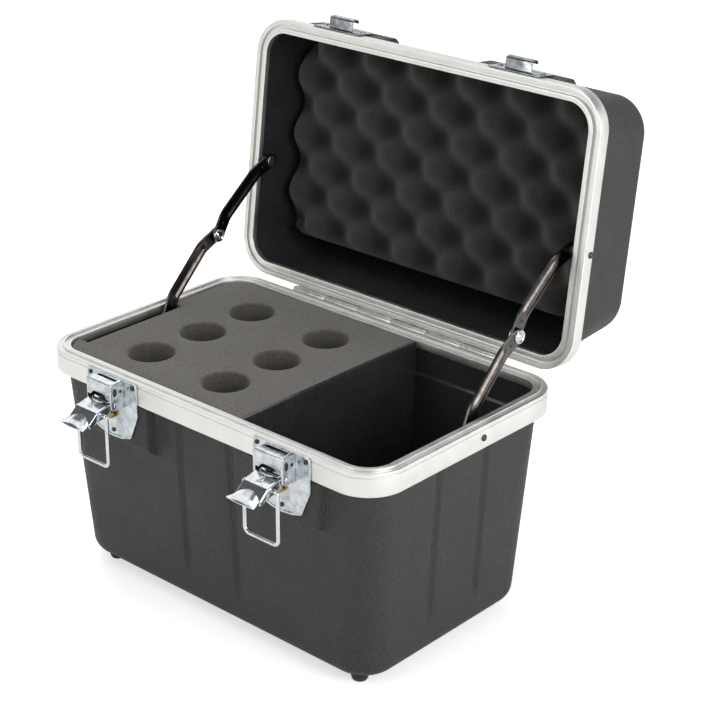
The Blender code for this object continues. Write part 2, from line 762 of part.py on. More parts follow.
def sheet(name, rows, thickness, surface, parent, place=(0, 0, 0), turn=0.0):
    """Sheet metal of even thickness. Each row holds points, or None where the sheet has no edge."""
    work = bmesh.new()
    corners = [[point and work.verts.new(point) for point in row] for row in rows]
    for low, high in zip(corners, corners[1:]):
        for index in range(len(low) - 1):
            face = (low[index], low[index + 1], high[index + 1], high[index])
            if all(face):
                work.faces.new(face)
    bmesh.ops.recalc_face_normals(work, faces=work.faces)
    mesh = bpy.data.meshes.new(name)
    work.to_mesh(mesh)
    work.free()
    made = bpy.data.objects.new(name, mesh)
    made.parent = parent
    made.location = place
    made.rotation_euler = (turn, 0, 0)
    bpy.context.scene.collection.objects.link(made)
    mesh.materials.append(surface)
    thicken = made.modifiers.new("thickness", "SOLIDIFY")
    thicken.thickness = thickness
    thicken.offset = 0
    thicken.use_even_offset = True
    return made


def hinge_leaf(name, own, far_edge, clear_edge, curl, rivet_z, surface, parent, place):
    """A leaf with rolled knuckles. The columns run between the knuckles' ends."""
    pitch = HINGE_LENGTH / KNUCKLES
    columns = []
    for index in range(KNUCKLES):
        start = -HINGE_LENGTH / 2 + index * pitch
        columns += [(start + KNUCKLE_GAP / 2, index), (start + pitch - KNUCKLE_GAP / 2, index)]
    middle = HALF_DEPTH + GAP + LEAF_WALL / 2
    rows = [[(x, middle, edge) for x, index in columns] for edge in (far_edge, clear_edge)]
    roll = arc(HINGE_Y, HINGE_Z, KNUCKLE_RADIUS - LEAF_WALL / 2, math.pi, curl * CURL_TURN, CURL_STEPS)
    for y, z in roll:
        rows.append([(x, y, z) if index % 2 == own else None for x, index in columns])
    made = sheet(name, rows, LEAF_WALL, surface, parent, place)
    heads = []
    for index in range(HINGE_RIVETS):
        x = (index - (HINGE_RIVETS - 1) / 2) * HINGE_LENGTH / HINGE_RIVETS
        heads.append(dome(x, rivet_z, middle + LEAF_WALL / 2, LEAF_WALL, 1))
    combine(made, f"{name}_rivets", heads, "UNION")


def make_hinge(rim, lid, steel):
    shut = (0, -HINGE_Y, -HINGE_Z)
    base_rivets = -(BASE_LEAF + HINGE_DOWN + LEAF_CLEAR) / 2
    hinge_leaf(
        "hinge_base_leaf", 0, -BASE_LEAF, HINGE_Z - LEAF_CLEAR, -1, base_rivets, steel, rim, (0, 0, 0))
    lid_clear = HINGE_Z + LEAF_CLEAR
    hinge_leaf("hinge_lid_leaf", 1, LID_LEAF, lid_clear, 1, (LID_LEAF + lid_clear) / 2, steel, lid, shut)
    pin = turned("X", [(-HINGE_LENGTH / 2, PIN_RADIUS), (HINGE_LENGTH / 2, PIN_RADIUS)])
    piece("hinge_pin", [moved(pin, 0, HINGE_Y, HINGE_Z)], steel, rim)


def opened(y, z, angle=LID_OPEN):
    """Where a point of the shut lid lies once the lid is turned open."""
    out = y - HINGE_Y
    up = z - HINGE_Z
    return (
        HINGE_Y + out * math.cos(angle) + up * math.sin(angle),
        HINGE_Z - out * math.sin(angle) + up * math.cos(angle),
    )


def stay_pose():
    """A stay arm's length, and the two arms' angles with the lid open and the stay almost straight."""
    far_y, far_z = opened(STAY_LID_Y, STAY_LID_Z)
    out = far_y - STAY_BASE_Y
    up = far_z - STAY_BASE_Z
    heading = math.atan2(up, out)
    return math.hypot(out, up) / (2 * math.cos(STAY_LEAN)), heading + STAY_LEAN, heading - STAY_LEAN


def stay_bead(length, x):
    """A round bar along the middle of an arm, which is pressed out of its sheet as a stiffening bead."""
    narrow, near = BEAD_END_SHARES
    half = BEAD_LENGTH / 2
    ends = [(half, BEAD_RADIUS * narrow), (half - BEAD_RADIUS * near, BEAD_RADIUS * near)]
    ends.append((half - BEAD_RADIUS, BEAD_RADIUS))
    profile = [(-along, radius) for along, radius in ends] + ends[::-1]
    return moved(turned("Y", profile), x, length / 2, STAY_OFFSET)


def make_stay_arm(name, side, length, low, steel, axis):
    """A flat arm, set off to one side between its eyes, with a bead pressed out towards the wall."""
    path = [(0, 0), (STAY_BEND, STAY_OFFSET), (length - STAY_BEND, STAY_OFFSET), (length, 0)]
    outline = band(path, 2 * STAY_HALF, ROUND_STEPS // 2)
    radius = STAY_JOURNAL + GAP
    bar = prism("X", outline, low, low + STAY_WALL, [circle(0, 0, radius), circle(length, 0, radius)])
    made = piece(name, [mirrored(bar, side)], steel, axis)
    rise = stay_bead(length, low + STAY_WALL + BEAD_PROUD - BEAD_RADIUS)
    hollow = stay_bead(length, low + BEAD_PROUD - BEAD_RADIUS)
    combine(made, f"{name}_bead", [mirrored(rise, side)], "UNION")
    combine(made, f"{name}_hollow", [mirrored(hollow, side)], "DIFFERENCE")


def make_stay(side, name, rim, lid, steel):
    """One folding stay: the lower arm turns on the base, the upper arm on the lower one."""
    length, lower_angle, upper_angle = stay_pose()
    foot = empty(f"stay_foot_axis_{name}", rim, (0, STAY_BASE_Y, STAY_BASE_Z), lower_angle)
    elbow = empty(f"stay_elbow_axis_{name}", foot, (0, length, 0), upper_angle - lower_angle)
    make_stay_arm(f"stay_lower_{name}", side, length, STAY_LOWER_X, steel, foot)
    make_stay_arm(f"stay_upper_{name}", side, length, STAY_UPPER_X, steel, elbow)
    outer = HALF_LENGTH + GAP
    wall = HALF_LENGTH - VALANCE_WIDTH - GAP
    lower_out = STAY_LOWER_X + STAY_WALL
    upper_out = STAY_UPPER_X + STAY_WALL
    button = [(outer + STAY_HEAD_HEIGHT, STAY_RIVET), (outer + STAY_HEAD_HEIGHT / 2, STAY_SHOULDER - GAP)]
    button += [(outer, STAY_SHOULDER), (outer, STAY_RIVET)]
    head = [(STAY_LOWER_X - GAP, STAY_JOURNAL), (STAY_LOWER_X - GAP, STAY_SHOULDER)]
    head.append((STAY_LOWER_X - GAP - STAY_HEAD_HEIGHT / 2, STAY_SHOULDER))
    head.append((STAY_LOWER_X - GAP - STAY_HEAD_HEIGHT, STAY_RIVET))
    shoulder = [(wall, STAY_RIVET), (wall, STAY_SHOULDER), (lower_out + GAP, STAY_SHOULDER)]
    shoulder.append((lower_out + GAP, STAY_JOURNAL))
    foot_rivet = moved(turned("X", button + shoulder + head), 0, STAY_BASE_Y, STAY_BASE_Z)
    piece(f"stay_foot_rivet_{name}", [mirrored(foot_rivet, side)], steel, rim)
    boss = [(wall, STAY_RIVET), (wall, STAY_SHOULDER), (upper_out + GAP, STAY_SHOULDER)]
    lid_rivet = moved(turned("X", button + boss), 0, STAY_LID_Y, STAY_LID_Z)
    piece(f"stay_lid_rivet_{name}", [mirrored(lid_rivet, side)], steel, lid, (0, -HINGE_Y, -HINGE_Z))
    inner = STAY_UPPER_X - GAP
    cap = [(inner, STAY_JOURNAL), (inner, STAY_HEAD), (inner - STAY_HEAD_HEIGHT / 2, STAY_HEAD)]
    cap.append((inner - STAY_HEAD_HEIGHT, STAY_JOURNAL))
    end_rivet = turned("X", [(upper_out, STAY_JOURNAL)] + cap)
    piece(f"stay_end_rivet_{name}", [moved(mirrored(end_rivet, side), 0, length)], steel, elbow)
    back = [(lower_out + GAP + STAY_HEAD_HEIGHT, STAY_JOURNAL)]
    back.append((lower_out + GAP + STAY_HEAD_HEIGHT / 2, STAY_HEAD))
    back += [(lower_out + GAP, STAY_HEAD), (lower_out + GAP, STAY_JOURNAL)]
    front = [(inner, STAY_JOURNAL), (inner, ELBOW_HEAD), (inner - STAY_HEAD_HEIGHT / 2, ELBOW_HEAD)]
    front.append((inner - STAY_HEAD_HEIGHT, STAY_JOURNAL))
    elbow_rivet = turned("X", back + front)
    piece(f"stay_elbow_rivet_{name}", [moved(mirrored(elbow_rivet, side), 0, length)], steel, foot)


def plate_rivet_places():
    """Where the back plate is riveted: its two top corners and its foot."""
    high = -PLATE_TOP - RIVET_EDGE
    aside = PLATE_HALF - RIVET_EDGE
    return ((-aside, high), (aside, high), (0, RIVET_EDGE / 2 - PLATE_FOOT))


def make_latch_plate(x, name, rim, steel):
    """A flat back plate with a sheet housing standing on it, open below for the lever."""
    dip = (PLATE_BOTTOM - PLATE_FOOT) * PLATE_DIP_SHARE
    outline = [
        (-PLATE_HALF, -PLATE_TOP), (-PLATE_HALF, -PLATE_SHOULDER), (-PLATE_FOOT_HALF, -PLATE_FOOT),
        (-PLATE_FOOT_HALF / 2, -PLATE_FOOT - dip), (0, -PLATE_BOTTOM),
        (PLATE_FOOT_HALF / 2, -PLATE_FOOT - dip), (PLATE_FOOT_HALF, -PLATE_FOOT),
        (PLATE_HALF, -PLATE_SHOULDER), (PLATE_HALF, -PLATE_TOP),
    ]
    made = piece(f"latch_plate_{name}", [prism("Y", outline, PLATE_FACE, PLATE_BACK)], steel, rim, (x, 0, 0))
    back = PLATE_FACE + PLATE_WALL / 2
    front = -HALF_DEPTH - HOUSING_PROUD
    pivot_y = -HALF_DEPTH - LEVER_OUT
    top = -PLATE_TOP - GAP
    nose = HOUSING_CHEEK - LEVER_DOWN
    side = [(back, top), (front, top), (front, -LEVER_DOWN)]
    side += arc(pivot_y, -LEVER_DOWN, nose, math.pi, math.pi / 2, ROUND_STEPS // 3)
    side.append((back, -HOUSING_CHEEK))
    combine(made, f"housing_{name}", [prism("X", side, -HOUSING_HALF, HOUSING_HALF)], "UNION")
    room = HOUSING_HALF - PLATE_WALL
    under = -HOUSING_CHEEK - OVERRUN
    inside = block((-room, front + PLATE_WALL, under), (room, PLATE_FACE, top - PLATE_WALL))
    combine(made, f"housing_room_{name}", [inside], "DIFFERENCE")
    below = block((-room, front - OVERRUN, under), (room, PLATE_FACE - PLATE_WALL, -HOUSING_FRONT))
    combine(made, f"housing_mouth_{name}", [below], "DIFFERENCE")
    slot_low = (-HOUSING_SLOT_HALF, PLATE_FACE - HOUSING_SLOT_FAR, top - 2 * PLATE_WALL)
    slot_high = (HOUSING_SLOT_HALF, PLATE_FACE - HOUSING_SLOT_NEAR, top + PLATE_WALL)
    combine(made, f"housing_slot_{name}", [block(slot_low, slot_high)], "DIFFERENCE")
    arch = [(NOTCH_HALF, -HOUSING_FRONT - OVERRUN), (NOTCH_HALF, -HOUSING_FRONT)]
    arch.append((NOTCH_HALF * NOTCH_ACROSS_SHARE, -HOUSING_FRONT + NOTCH_RISE * NOTCH_UP_SHARE))
    arch.append((0, -HOUSING_FRONT + NOTCH_RISE))
    arch += [(-a, b) for a, b in arch[-2::-1]]
    notch = prism("Y", arch, front - OVERRUN, front + 2 * PLATE_WALL)
    combine(made, f"housing_notch_{name}", [notch], "DIFFERENCE")
    reach = HOUSING_HALF + OVERRUN
    radius = LEVER_PIN + GAP
    pin_hole = moved(turned("X", [(-reach, radius), (reach, radius)]), 0, pivot_y, -LEVER_DOWN)
    hole_y = PLATE_FACE - CHEEK_HOLE_OUT
    oval = slot(hole_y, -CHEEK_HOLE_DOWN, math.pi / 2, 2 * CHEEK_HOLE_ALONG, CHEEK_HOLE_ACROSS)
    combine(made, f"cheek_holes_{name}", [pin_hole, prism("X", oval, -reach, reach)], "DIFFERENCE")
    pin_end = HOUSING_HALF + GAP
    pin = moved(turned("X", [(-pin_end, LEVER_PIN), (pin_end, LEVER_PIN)]), 0, pivot_y, -LEVER_DOWN)
    piece(f"lever_pin_{name}", [pin], steel, rim, (x, 0, 0))
    heads = [dome(a, b, PLATE_FACE, PLATE_WALL) for a, b in plate_rivet_places()]
    combine(made, f"latch_rivets_{name}", heads, "UNION")


def make_post(x, name, rim, brass):
    """The brass post that the key plug's lever closes over."""
    start = PLATE_FACE - GAP
    profile = [(start, POST_RADIUS), (start - POST_HEIGHT * POST_CROWN_SHARE, POST_RADIUS)]
    profile.append((start - POST_HEIGHT, POST_RADIUS * POST_CROWN_SHARE))
    piece(f"latch_post_{name}", [moved(turned("Y", profile), 0, 0, -POST_DOWN)], brass, rim, (x, 0, 0))


def lever_rows():
    """The lever's middle surface from the barrel's free edge to the finger lip, with folded flanges."""
    middle = BARREL_RADIUS - LEVER_WALL / 2
    plain = []
    for along, up in arc(0, 0, middle, math.pi / 2 + BARREL_TURN, -BARREL_TURN, CURL_STEPS):
        plain.append((along, up, LEVER_HALF, 0, 0))
    plain.append((FLANGE_START, middle, LEVER_HALF, FLANGE_DEPTH, 0))
    plain.append((PANEL_LENGTH, middle, LEVER_HALF, FLANGE_DEPTH, 0))
    bend = PANEL_LENGTH + PANEL_TWO_LENGTH * math.cos(PANEL_TWO_BEND)
    drop = middle - PANEL_TWO_LENGTH * math.sin(PANEL_TWO_BEND)
    bow = PANEL_TWO_LENGTH / 2
    plain.append((bend, drop, LEVER_HALF, FLANGE_DEPTH / 2, bow))
    rise = LIP_BEND - PANEL_TWO_BEND
    flare = (LEVER_HALF + LEVER_LIP_HALF) / 2
    half_lip = LIP_LENGTH / 2
    plain.append((bend + half_lip * math.cos(rise), drop + half_lip * math.sin(rise), flare, 0, bow / 2))
    end_along = bend + LIP_LENGTH * math.cos(rise)
    plain.append((end_along, drop + LIP_LENGTH * math.sin(rise), LEVER_LIP_HALF, 0, -bow / 3))
    rows = []
    for along, up, half, flange, bow in plain:
        row = []
        for share in LEVER_ACROSS_SHARES:
            back = bow * (1 - share * share)
            lift = back * math.tan(PANEL_TWO_BEND) if flange else 0
            row.append((half * share, back - along, up + lift))
        fold = [(side * half, -along, up - flange) if flange else None for side in (-1, 1)]
        rows.append([fold[0]] + row + [fold[1]])
    return rows


def make_lever(x, name, rim, steel):
    """The lever with its rolled barrel, its key plug and the frame that carries the bail."""
    pivot = (x, -HALF_DEPTH - LEVER_OUT, -LEVER_DOWN)
    axis = empty(f"lever_axis_{name}", rim, pivot, LEVER_SLOPE)
    made = sheet(f"latch_lever_{name}", lever_rows(), LEVER_WALL, steel, axis)
    middle = BARREL_RADIUS - LEVER_WALL / 2
    reach = LEVER_HALF + OVERRUN
    radius = BAIL_WIRE + GAP
    bail_y = -BAIL_ALONG
    bail_z = middle - BAIL_UNDER
    eyes = moved(turned("X", [(-reach, radius), (reach, radius)]), 0, bail_y, bail_z)
    bowl = [(-CRESCENT_HALF, -CRESCENT_AT / 2)]
    for step in range(1, CRESCENT_STEPS):
        share = 2 * step / CRESCENT_STEPS - 1
        bowl.append((CRESCENT_HALF * share, -CRESCENT_AT / 2 - CRESCENT_DEPTH * (1 - share * share)))
    bowl.append((CRESCENT_HALF, -CRESCENT_AT / 2))
    crescent = prism("Z", bowl, middle - LEVER_WALL, middle + OVERRUN)
    low = middle - LEVER_WALL - GAP
    key_hole = turned("Z", [(low, KEY_RADIUS + GAP), (middle + OVERRUN, KEY_RADIUS + GAP)])
    combine(made, f"lever_eyes_{name}", [eyes], "DIFFERENCE")
    combine(made, f"lever_crescent_{name}", [crescent], "DIFFERENCE")
    combine(made, f"lever_key_hole_{name}", [moved(key_hole, 0, -KEY_ALONG)], "DIFFERENCE")
    plug_axis = empty(f"key_axis_{name}", axis, (0, -KEY_ALONG, 0))
    top = middle + LEVER_WALL / 2 + KEY_HEAD
    tail = middle - LEVER_WALL / 2 - KEY_TAIL
    plug = piece(f"key_plug_{name}", [turned("Z", [(tail, KEY_RADIUS), (top, KEY_RADIUS)])], steel, plug_axis)
    way_low = (-KEY_SLOT_HALF, -KEY_SLOT_REACH, top - 2 * KEY_HEAD)
    way_high = (KEY_SLOT_HALF, KEY_SLOT_REACH, top + OVERRUN)
    combine(plug, f"key_way_{name}", [block(way_low, way_high)], "DIFFERENCE")
    make_bail(name, axis, (0, bail_y, bail_z), steel)


def bail_reach():
    """The bail's length and its turn from hanging to latched, from where its bar seats in the hook."""
    middle = BARREL_RADIUS - LEVER_WALL / 2
    shut_y = -HALF_DEPTH - LEVER_OUT - (middle - BAIL_UNDER)
    shut_z = -LEVER_DOWN - BAIL_ALONG
    seat_y = PLATE_FACE - HOOK_SEAT
    seat_z = HOOK_FLOOR + PLATE_WALL / 2 + BAIL_PLAY + BAIL_WIRE
    length = math.hypot(seat_y - shut_y, seat_z - shut_z)
    lean = math.atan2(seat_y - shut_y, seat_z - shut_z)
    return length, math.pi + lean + (math.pi / 2 - LEVER_SLOPE)


def make_bail(name, lever, place, steel):
    """A bent wire loop that hangs from the lever's flanges."""
    length = bail_reach()[0]
    axis = empty(f"bail_axis_{name}", lever, place, -LEVER_SLOPE)
    bend = BAIL_CORNER / 2
    half = arc(-BAIL_HALF + bend, -bend, bend, math.pi / 2, math.pi / 2, EDGE_STEPS)
    half += arc(-BAIL_HALF + BAIL_CORNER, BAIL_CORNER - length, BAIL_CORNER, math.pi, math.pi / 2, EDGE_STEPS)
    path = [(-BAIL_END, 0)] + half
    path += [(-a, b) for a, b in path[::-1]]
    loop = wire([(a, 0, b) for a, b in path], BAIL_WIRE, BAIL_SIDES)
    piece(f"latch_bail_{name}", [loop], steel, axis)


def make_catch(x, name, lid, steel):
    """The lid's catch: a plate with a hook that curls up and back, which the bail's bar drops into."""
    place = (x, -HINGE_Y, -HINGE_Z)
    low = 2 * GAP + HINGE_DOWN
    outline = [(CATCH_HALF, low), (CATCH_HALF, CATCH_TOP - CATCH_ROUND)]
    bend = CATCH_ROUND
    outline += arc(CATCH_HALF - bend, CATCH_TOP - bend, bend, 0, math.pi / 2, EDGE_STEPS)[1:]
    outline += [(-a, b) for a, b in outline[::-1]]
    made = piece(f"lid_catch_{name}", [prism("Y", outline, PLATE_FACE, PLATE_BACK)], steel, lid, place)
    out = -HALF_DEPTH - HOOK_OUT
    path = [(PLATE_FACE + PLATE_WALL / 2, HOOK_FLOOR)]
    path += arc(out + HOOK_CURL, HOOK_FLOOR + HOOK_CURL, HOOK_CURL, -math.pi / 2, -math.pi / 2, EDGE_STEPS)
    high = HOOK_FLOOR + HOOK_RISE - HOOK_CURL
    path += arc(out + HOOK_CURL, high, HOOK_CURL, math.pi, -HOOK_TURN, EDGE_STEPS)
    hook = prism("X", band(path, PLATE_WALL), -HOOK_HALF, HOOK_HALF)
    combine(made, f"hook_{name}", [hook], "UNION")
    rivet_x = CATCH_HALF - RIVET_EDGE
    rivet_z = (low + CATCH_TOP) / 2
    heads = [dome(side * rivet_x, rivet_z, PLATE_FACE, PLATE_WALL) for side in (-1, 1)]
    combine(made, f"catch_rivets_{name}", heads, "UNION")


def make_lid_foam(lid, surface):
    """Convoluted foam: an egg-crate face towards the base, trimmed to the inside of the lid."""
    step = CRATE_PITCH / CRATE_STEPS
    columns = 2 * round(LID_FOAM_HALF / step)
    rows = round((LID_FOAM_REAR - LID_FOAM_FRONT) / step)
    rings = []
    for row in range(rows + 1):
        y = LID_FOAM_FRONT + (LID_FOAM_REAR - LID_FOAM_FRONT) * row / rows
        ring = []
        for column in range(columns + 1):
            x = LID_FOAM_HALF * (2 * column / columns - 1)
            wave = math.cos(2 * math.pi * x / CRATE_PITCH) * math.cos(2 * math.pi * y / CRATE_PITCH)
            ring.append((x, y, LID_FOAM_PEAK + CRATE_SWING * (1 - wave)))
        ring.append((LID_FOAM_HALF, y, LID_HEIGHT))
        ring.append((-LID_FOAM_HALF, y, LID_HEIGHT))
        rings.append(ring)
    place = (0, -HINGE_Y, -HINGE_Z)
    made = piece("lid_foam", [loft(rings)], surface, lid, place)
    room = loft(lid_form().rings(LID_FOAM_PEAK / 2, WALL + GAP))
    combine(made, "lid_foam_trim", [room], "INTERSECT")


def make_handle(lid, plastic, steel):
    """A folding carry handle between two brackets on the lid's top."""
    seat = LID_HEIGHT + GAP
    axis_z = seat + HANDLE_RISE
    axis = empty("handle_axis", lid, (0, -HINGE_Y, axis_z - HINGE_Z), LID_OPEN - math.pi / 2)
    bend = HANDLE_CORNER
    half = arc(bend - HANDLE_HALF, HANDLE_REACH - bend, bend, math.pi, -math.pi / 2, EDGE_STEPS)
    path = [(-HANDLE_HALF, -HANDLE_EYE)] + half
    path += [(-a, b) for a, b in path[::-1]]
    bow = wire([(a, b, 0) for a, b in path], HANDLE_THICK, HANDLE_SIDES)
    grip = piece("handle_grip", [bow], plastic, axis)
    across = HANDLE_HALF + HANDLE_THICK
    radius = HANDLE_PIN + GAP
    bore = turned("X", [(-across - OVERRUN, radius), (across + OVERRUN, radius)])
    combine(grip, "handle_eyes", [bore], "DIFFERENCE")
    ear = [(-EAR_PLATE, 0), (EAR_PLATE, 0), (EAR_PLATE, EAR_BASE), (EAR_REACH, EAR_BASE)]
    ear += arc(0, HANDLE_RISE, HANDLE_EYE, 0, math.pi, ROUND_STEPS // 2)
    ear += [(-EAR_REACH, EAR_BASE), (-EAR_PLATE, EAR_BASE)]
    for side, name in ((-1, "left"), (1, "right")):
        near = across + GAP
        far = near + 2 * EAR_HALF
        bracket = prism("X", ear, near, far, [circle(0, HANDLE_RISE, radius)])
        bracket = moved(mirrored(bracket, side), 0, 0, seat)
        piece(f"handle_bracket_{name}", [bracket], plastic, lid, (0, -HINGE_Y, -HINGE_Z))
        pin = turned("X", [(across - 2 * HANDLE_THICK - GAP, HANDLE_PIN), (far + GAP, HANDLE_PIN)])
        pin = moved(mirrored(pin, side), 0, 0, axis_z)
        piece(f"handle_pin_{name}", [pin], steel, lid, (0, -HINGE_Y, -HINGE_Z))


def main():
    for old in list(bpy.data.objects):
        bpy.data.objects.remove(old, do_unlink=True)
    black = material("shell plastic", (0.02, 0.021, 0.023), 0.6)
    smooth_black = material("smooth plastic", (0.015, 0.015, 0.016), 0.3)
    aluminium = material("valance", (0.78, 0.78, 0.76), 0.35, 0.6)
    chrome = material("plated steel", (0.75, 0.76, 0.78), 0.15, 1.0)
    brass = material("brass", (0.75, 0.58, 0.28), 0.3, 1.0)
    foam = material("foam", (0.09, 0.087, 0.085), 0.95)
    rubber = material("rubber", (0.02, 0.02, 0.02), 0.8)
    rim = empty("rim_frame", None, (0, 0, FOOT_HEIGHT + BASE_HEIGHT))
    lid = empty("lid_axis", rim, (0, HINGE_Y, HINGE_Z), -LID_OPEN)
    make_base_shell(rim, black)
    make_base_valance(rim, aluminium)
    make_feet(rim, rubber, chrome)
    make_foam_block(rim, foam)
    make_divider(rim, smooth_black)
    make_hinge(rim, lid, chrome)
    make_lid_shell(lid, black)
    make_lid_valance(lid, aluminium)
    make_lid_foam(lid, foam)
    make_handle(lid, smooth_black, chrome)
    for side, name in ((-1, "left"), (1, "right")):
        make_stay(side, name, rim, lid, chrome)
        make_latch_plate(side * LATCH_X, name, rim, chrome)
        make_post(side * LATCH_X, name, rim, brass)
        make_lever(side * LATCH_X, name, rim, chrome)
        make_catch(side * LATCH_X, name, lid, chrome)


main()
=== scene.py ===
# %% [markdown]
# # An open microphone case
# The case has a deep base and a shallow lid, both pressed from black plastic sheet. An aluminium
# profile, called a valance, frames each rim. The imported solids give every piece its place. This lesson
# rebuilds what shows with finer shapes and gives each piece a material for what it is made of.

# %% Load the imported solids
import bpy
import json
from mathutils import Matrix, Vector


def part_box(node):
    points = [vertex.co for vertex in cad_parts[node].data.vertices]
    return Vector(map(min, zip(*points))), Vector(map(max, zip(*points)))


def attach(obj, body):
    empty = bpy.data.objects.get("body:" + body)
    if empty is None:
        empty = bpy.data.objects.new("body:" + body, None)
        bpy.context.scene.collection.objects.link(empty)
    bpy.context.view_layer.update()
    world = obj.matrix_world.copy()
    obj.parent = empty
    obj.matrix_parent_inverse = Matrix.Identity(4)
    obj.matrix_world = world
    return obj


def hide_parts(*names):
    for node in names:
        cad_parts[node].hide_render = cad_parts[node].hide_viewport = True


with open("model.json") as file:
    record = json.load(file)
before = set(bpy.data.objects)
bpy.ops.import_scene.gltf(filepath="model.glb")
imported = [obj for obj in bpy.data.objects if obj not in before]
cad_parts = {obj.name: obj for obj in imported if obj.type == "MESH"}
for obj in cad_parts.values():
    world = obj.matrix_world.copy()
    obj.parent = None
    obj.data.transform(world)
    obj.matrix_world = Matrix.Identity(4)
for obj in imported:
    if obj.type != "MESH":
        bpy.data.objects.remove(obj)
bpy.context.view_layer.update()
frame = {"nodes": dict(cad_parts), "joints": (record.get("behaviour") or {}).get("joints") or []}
print("packed nodes:", len(frame["nodes"]))

# %% [markdown]
# ## Places that everything hangs on
# Two frames carry the whole case. One sits in the base's rim. The other is the same frame after the
# hinge has turned it open, so the lid is drawn as if it were shut and lands where it stands open.
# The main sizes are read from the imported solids, so the lesson follows them.

# %% Frames of the base and the lid
import json
import math
import bmesh
import bpy
from mathutils import Matrix, Vector

MM = 0.001
VALANCE_DROP = 19 * MM
joints = {joint["name"]: joint for joint in frame["joints"]}
rim_low, rim_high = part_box("base_valance")
HALF_LENGTH = rim_high.x
HALF_DEPTH = -rim_low.y
RIM_Z = rim_low.z + VALANCE_DROP
hinge = Vector(joints["lid_hinge"]["pos_m"])
LID_OPEN = math.radians(-joints["lid_hinge"]["range_deg"][0])
at_rim = Matrix.Translation((0, 0, RIM_Z))
lid_shut = Matrix.Translation((0, -hinge.y, RIM_Z - hinge.z))
at_lid = Matrix.Translation(hinge) @ Matrix.Rotation(-LID_OPEN, 4, "X") @ lid_shut
print("rim at", round(RIM_Z / MM, 1), "mm, half length", round(HALF_LENGTH / MM, 1), "mm")

# %% [markdown]
# ## From lists of points to a mesh
# A wall, a tube and a rim are all nets: rings of points joined by four-sided faces. One function joins
# rings, one turns nets into an object, and one hands the finished piece to the frame. Writing them once
# keeps each later piece down to its own shape.

# %% Nets and pieces
def net(rings, around=True, along=False, ends=False, finish=0):
    """Points, faces and finish of the faces between rings of equal length."""
    width = len(rings[0])
    points = [point for ring in rings for point in ring]
    faces = []
    for row in range(len(rings) - (not along)):
        near = row * width
        far = (row + 1) % len(rings) * width
        for column in range(width - (not around)):
            beside = (column + 1) % width
            faces.append((near + column, near + beside, far + beside, far + column))
    if ends:
        faces.append(tuple(range(width)))
        faces.append(tuple(range(len(points) - width, len(points))))
    return points, faces, finish


def draft(name, nets, finishes, place=Matrix(), sharp=32, weld=False):
    """A mesh object from nets, which may be welded where they meet, with its normals outward."""
    work = bmesh.new()
    for points, faces, finish in nets:
        corners = [work.verts.new(place @ Vector(point)) for point in points]
        for face in faces:
            made = work.faces.new([corners[index] for index in face])
            made.material_index = finish
            made.smooth = True
        bmesh.ops.remove_doubles(work, verts=corners, dist=MM / 1000)
    if weld:
        bmesh.ops.remove_doubles(work, verts=work.verts, dist=MM / 1000)
    bmesh.ops.recalc_face_normals(work, faces=work.faces)
    mesh = bpy.data.meshes.new(name)
    work.to_mesh(mesh)
    work.free()
    mesh.set_sharp_from_angle(angle=math.radians(sharp))
    for finish in finishes:
        mesh.materials.append(finish)
    piece = bpy.data.objects.new(name, mesh)
    bpy.context.scene.collection.objects.link(piece)
    return piece


def settle(piece, sharp=32):
    """Writes a piece's modifiers into its mesh and takes them off."""
    graph = bpy.context.evaluated_depsgraph_get()
    mesh = bpy.data.meshes.new_from_object(piece.evaluated_get(graph))
    piece.modifiers.clear()
    bare = piece.data
    piece.data = mesh
    bpy.data.meshes.remove(bare)
    mesh.name = piece.name
    mesh.polygons.foreach_set("use_smooth", [True] * len(mesh.polygons))
    mesh.set_sharp_from_angle(angle=math.radians(sharp))
    return piece


def keep(piece, body, slot, *replaced):
    """Hands a finished piece to the frame."""
    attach(piece, body)
    if replaced:
        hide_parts(*replaced)
    print(piece.name, "rides on", body, "with", len(piece.data.polygons), "faces")
    return piece


# %% [markdown]
# ## Outlines and simple forms
# Sheet metal is cut from a flat outline with rounded corners, pins and rivets are turned, and wire is a
# circle carried along a path. Real edges are never knife sharp, so a plate gets an eased edge: its
# outline shrinks by a quarter circle as it nears each face.

# %% Outlines, plates, turned parts and wires
def arc(a, b, radius, start, turn, steps):
    """Points along an arc, with angles in radians."""
    angles = [start + turn * step / steps for step in range(steps + 1)]
    return [(a + radius * math.cos(angle), b + radius * math.sin(angle)) for angle in angles]


def rounded(corners, steps=5):
    """A closed outline through corners, each with its own radius."""
    outline = []
    for index, (a, b, radius) in enumerate(corners):
        here = Vector((a, b))
        back = (Vector(corners[index - 1][:2]) - here).normalized()
        ahead = (Vector(corners[(index + 1) % len(corners)][:2]) - here).normalized()
        half = back.angle(ahead) / 2
        if radius == 0 or half > math.radians(89):
            outline.append((a, b))
            continue
        centre = here + (back + ahead).normalized() * radius / math.sin(half)
        first = here + back * radius / math.tan(half) - centre
        last = here + ahead * radius / math.tan(half) - centre
        angle = first.angle(last)
        for step in range(steps + 1):
            share = step / steps
            blend = math.sin((1 - share) * angle) * first + math.sin(share * angle) * last
            outline.append(tuple(centre + blend / math.sin(angle)))
    return outline


def shrunk(outline, inset):
    """The outline moved inward, corner by corner."""
    count = len(outline)
    area = sum(outline[i - 1][0] * outline[i][1] - outline[i][0] * outline[i - 1][1] for i in range(count))
    inward = math.copysign(1, area)
    moved = []
    for index in range(count):
        here = Vector(outline[index])
        before = (here - Vector(outline[index - 1])).normalized()
        after = (Vector(outline[(index + 1) % count]) - here).normalized()
        way = before + after
        side = Vector((-way.y, way.x)).normalized()
        corner = max(math.cos(before.angle(after) / 2), 0.5) if before.length and after.length else 1
        moved.append(tuple(here + side * inward * inset / corner))
    return moved


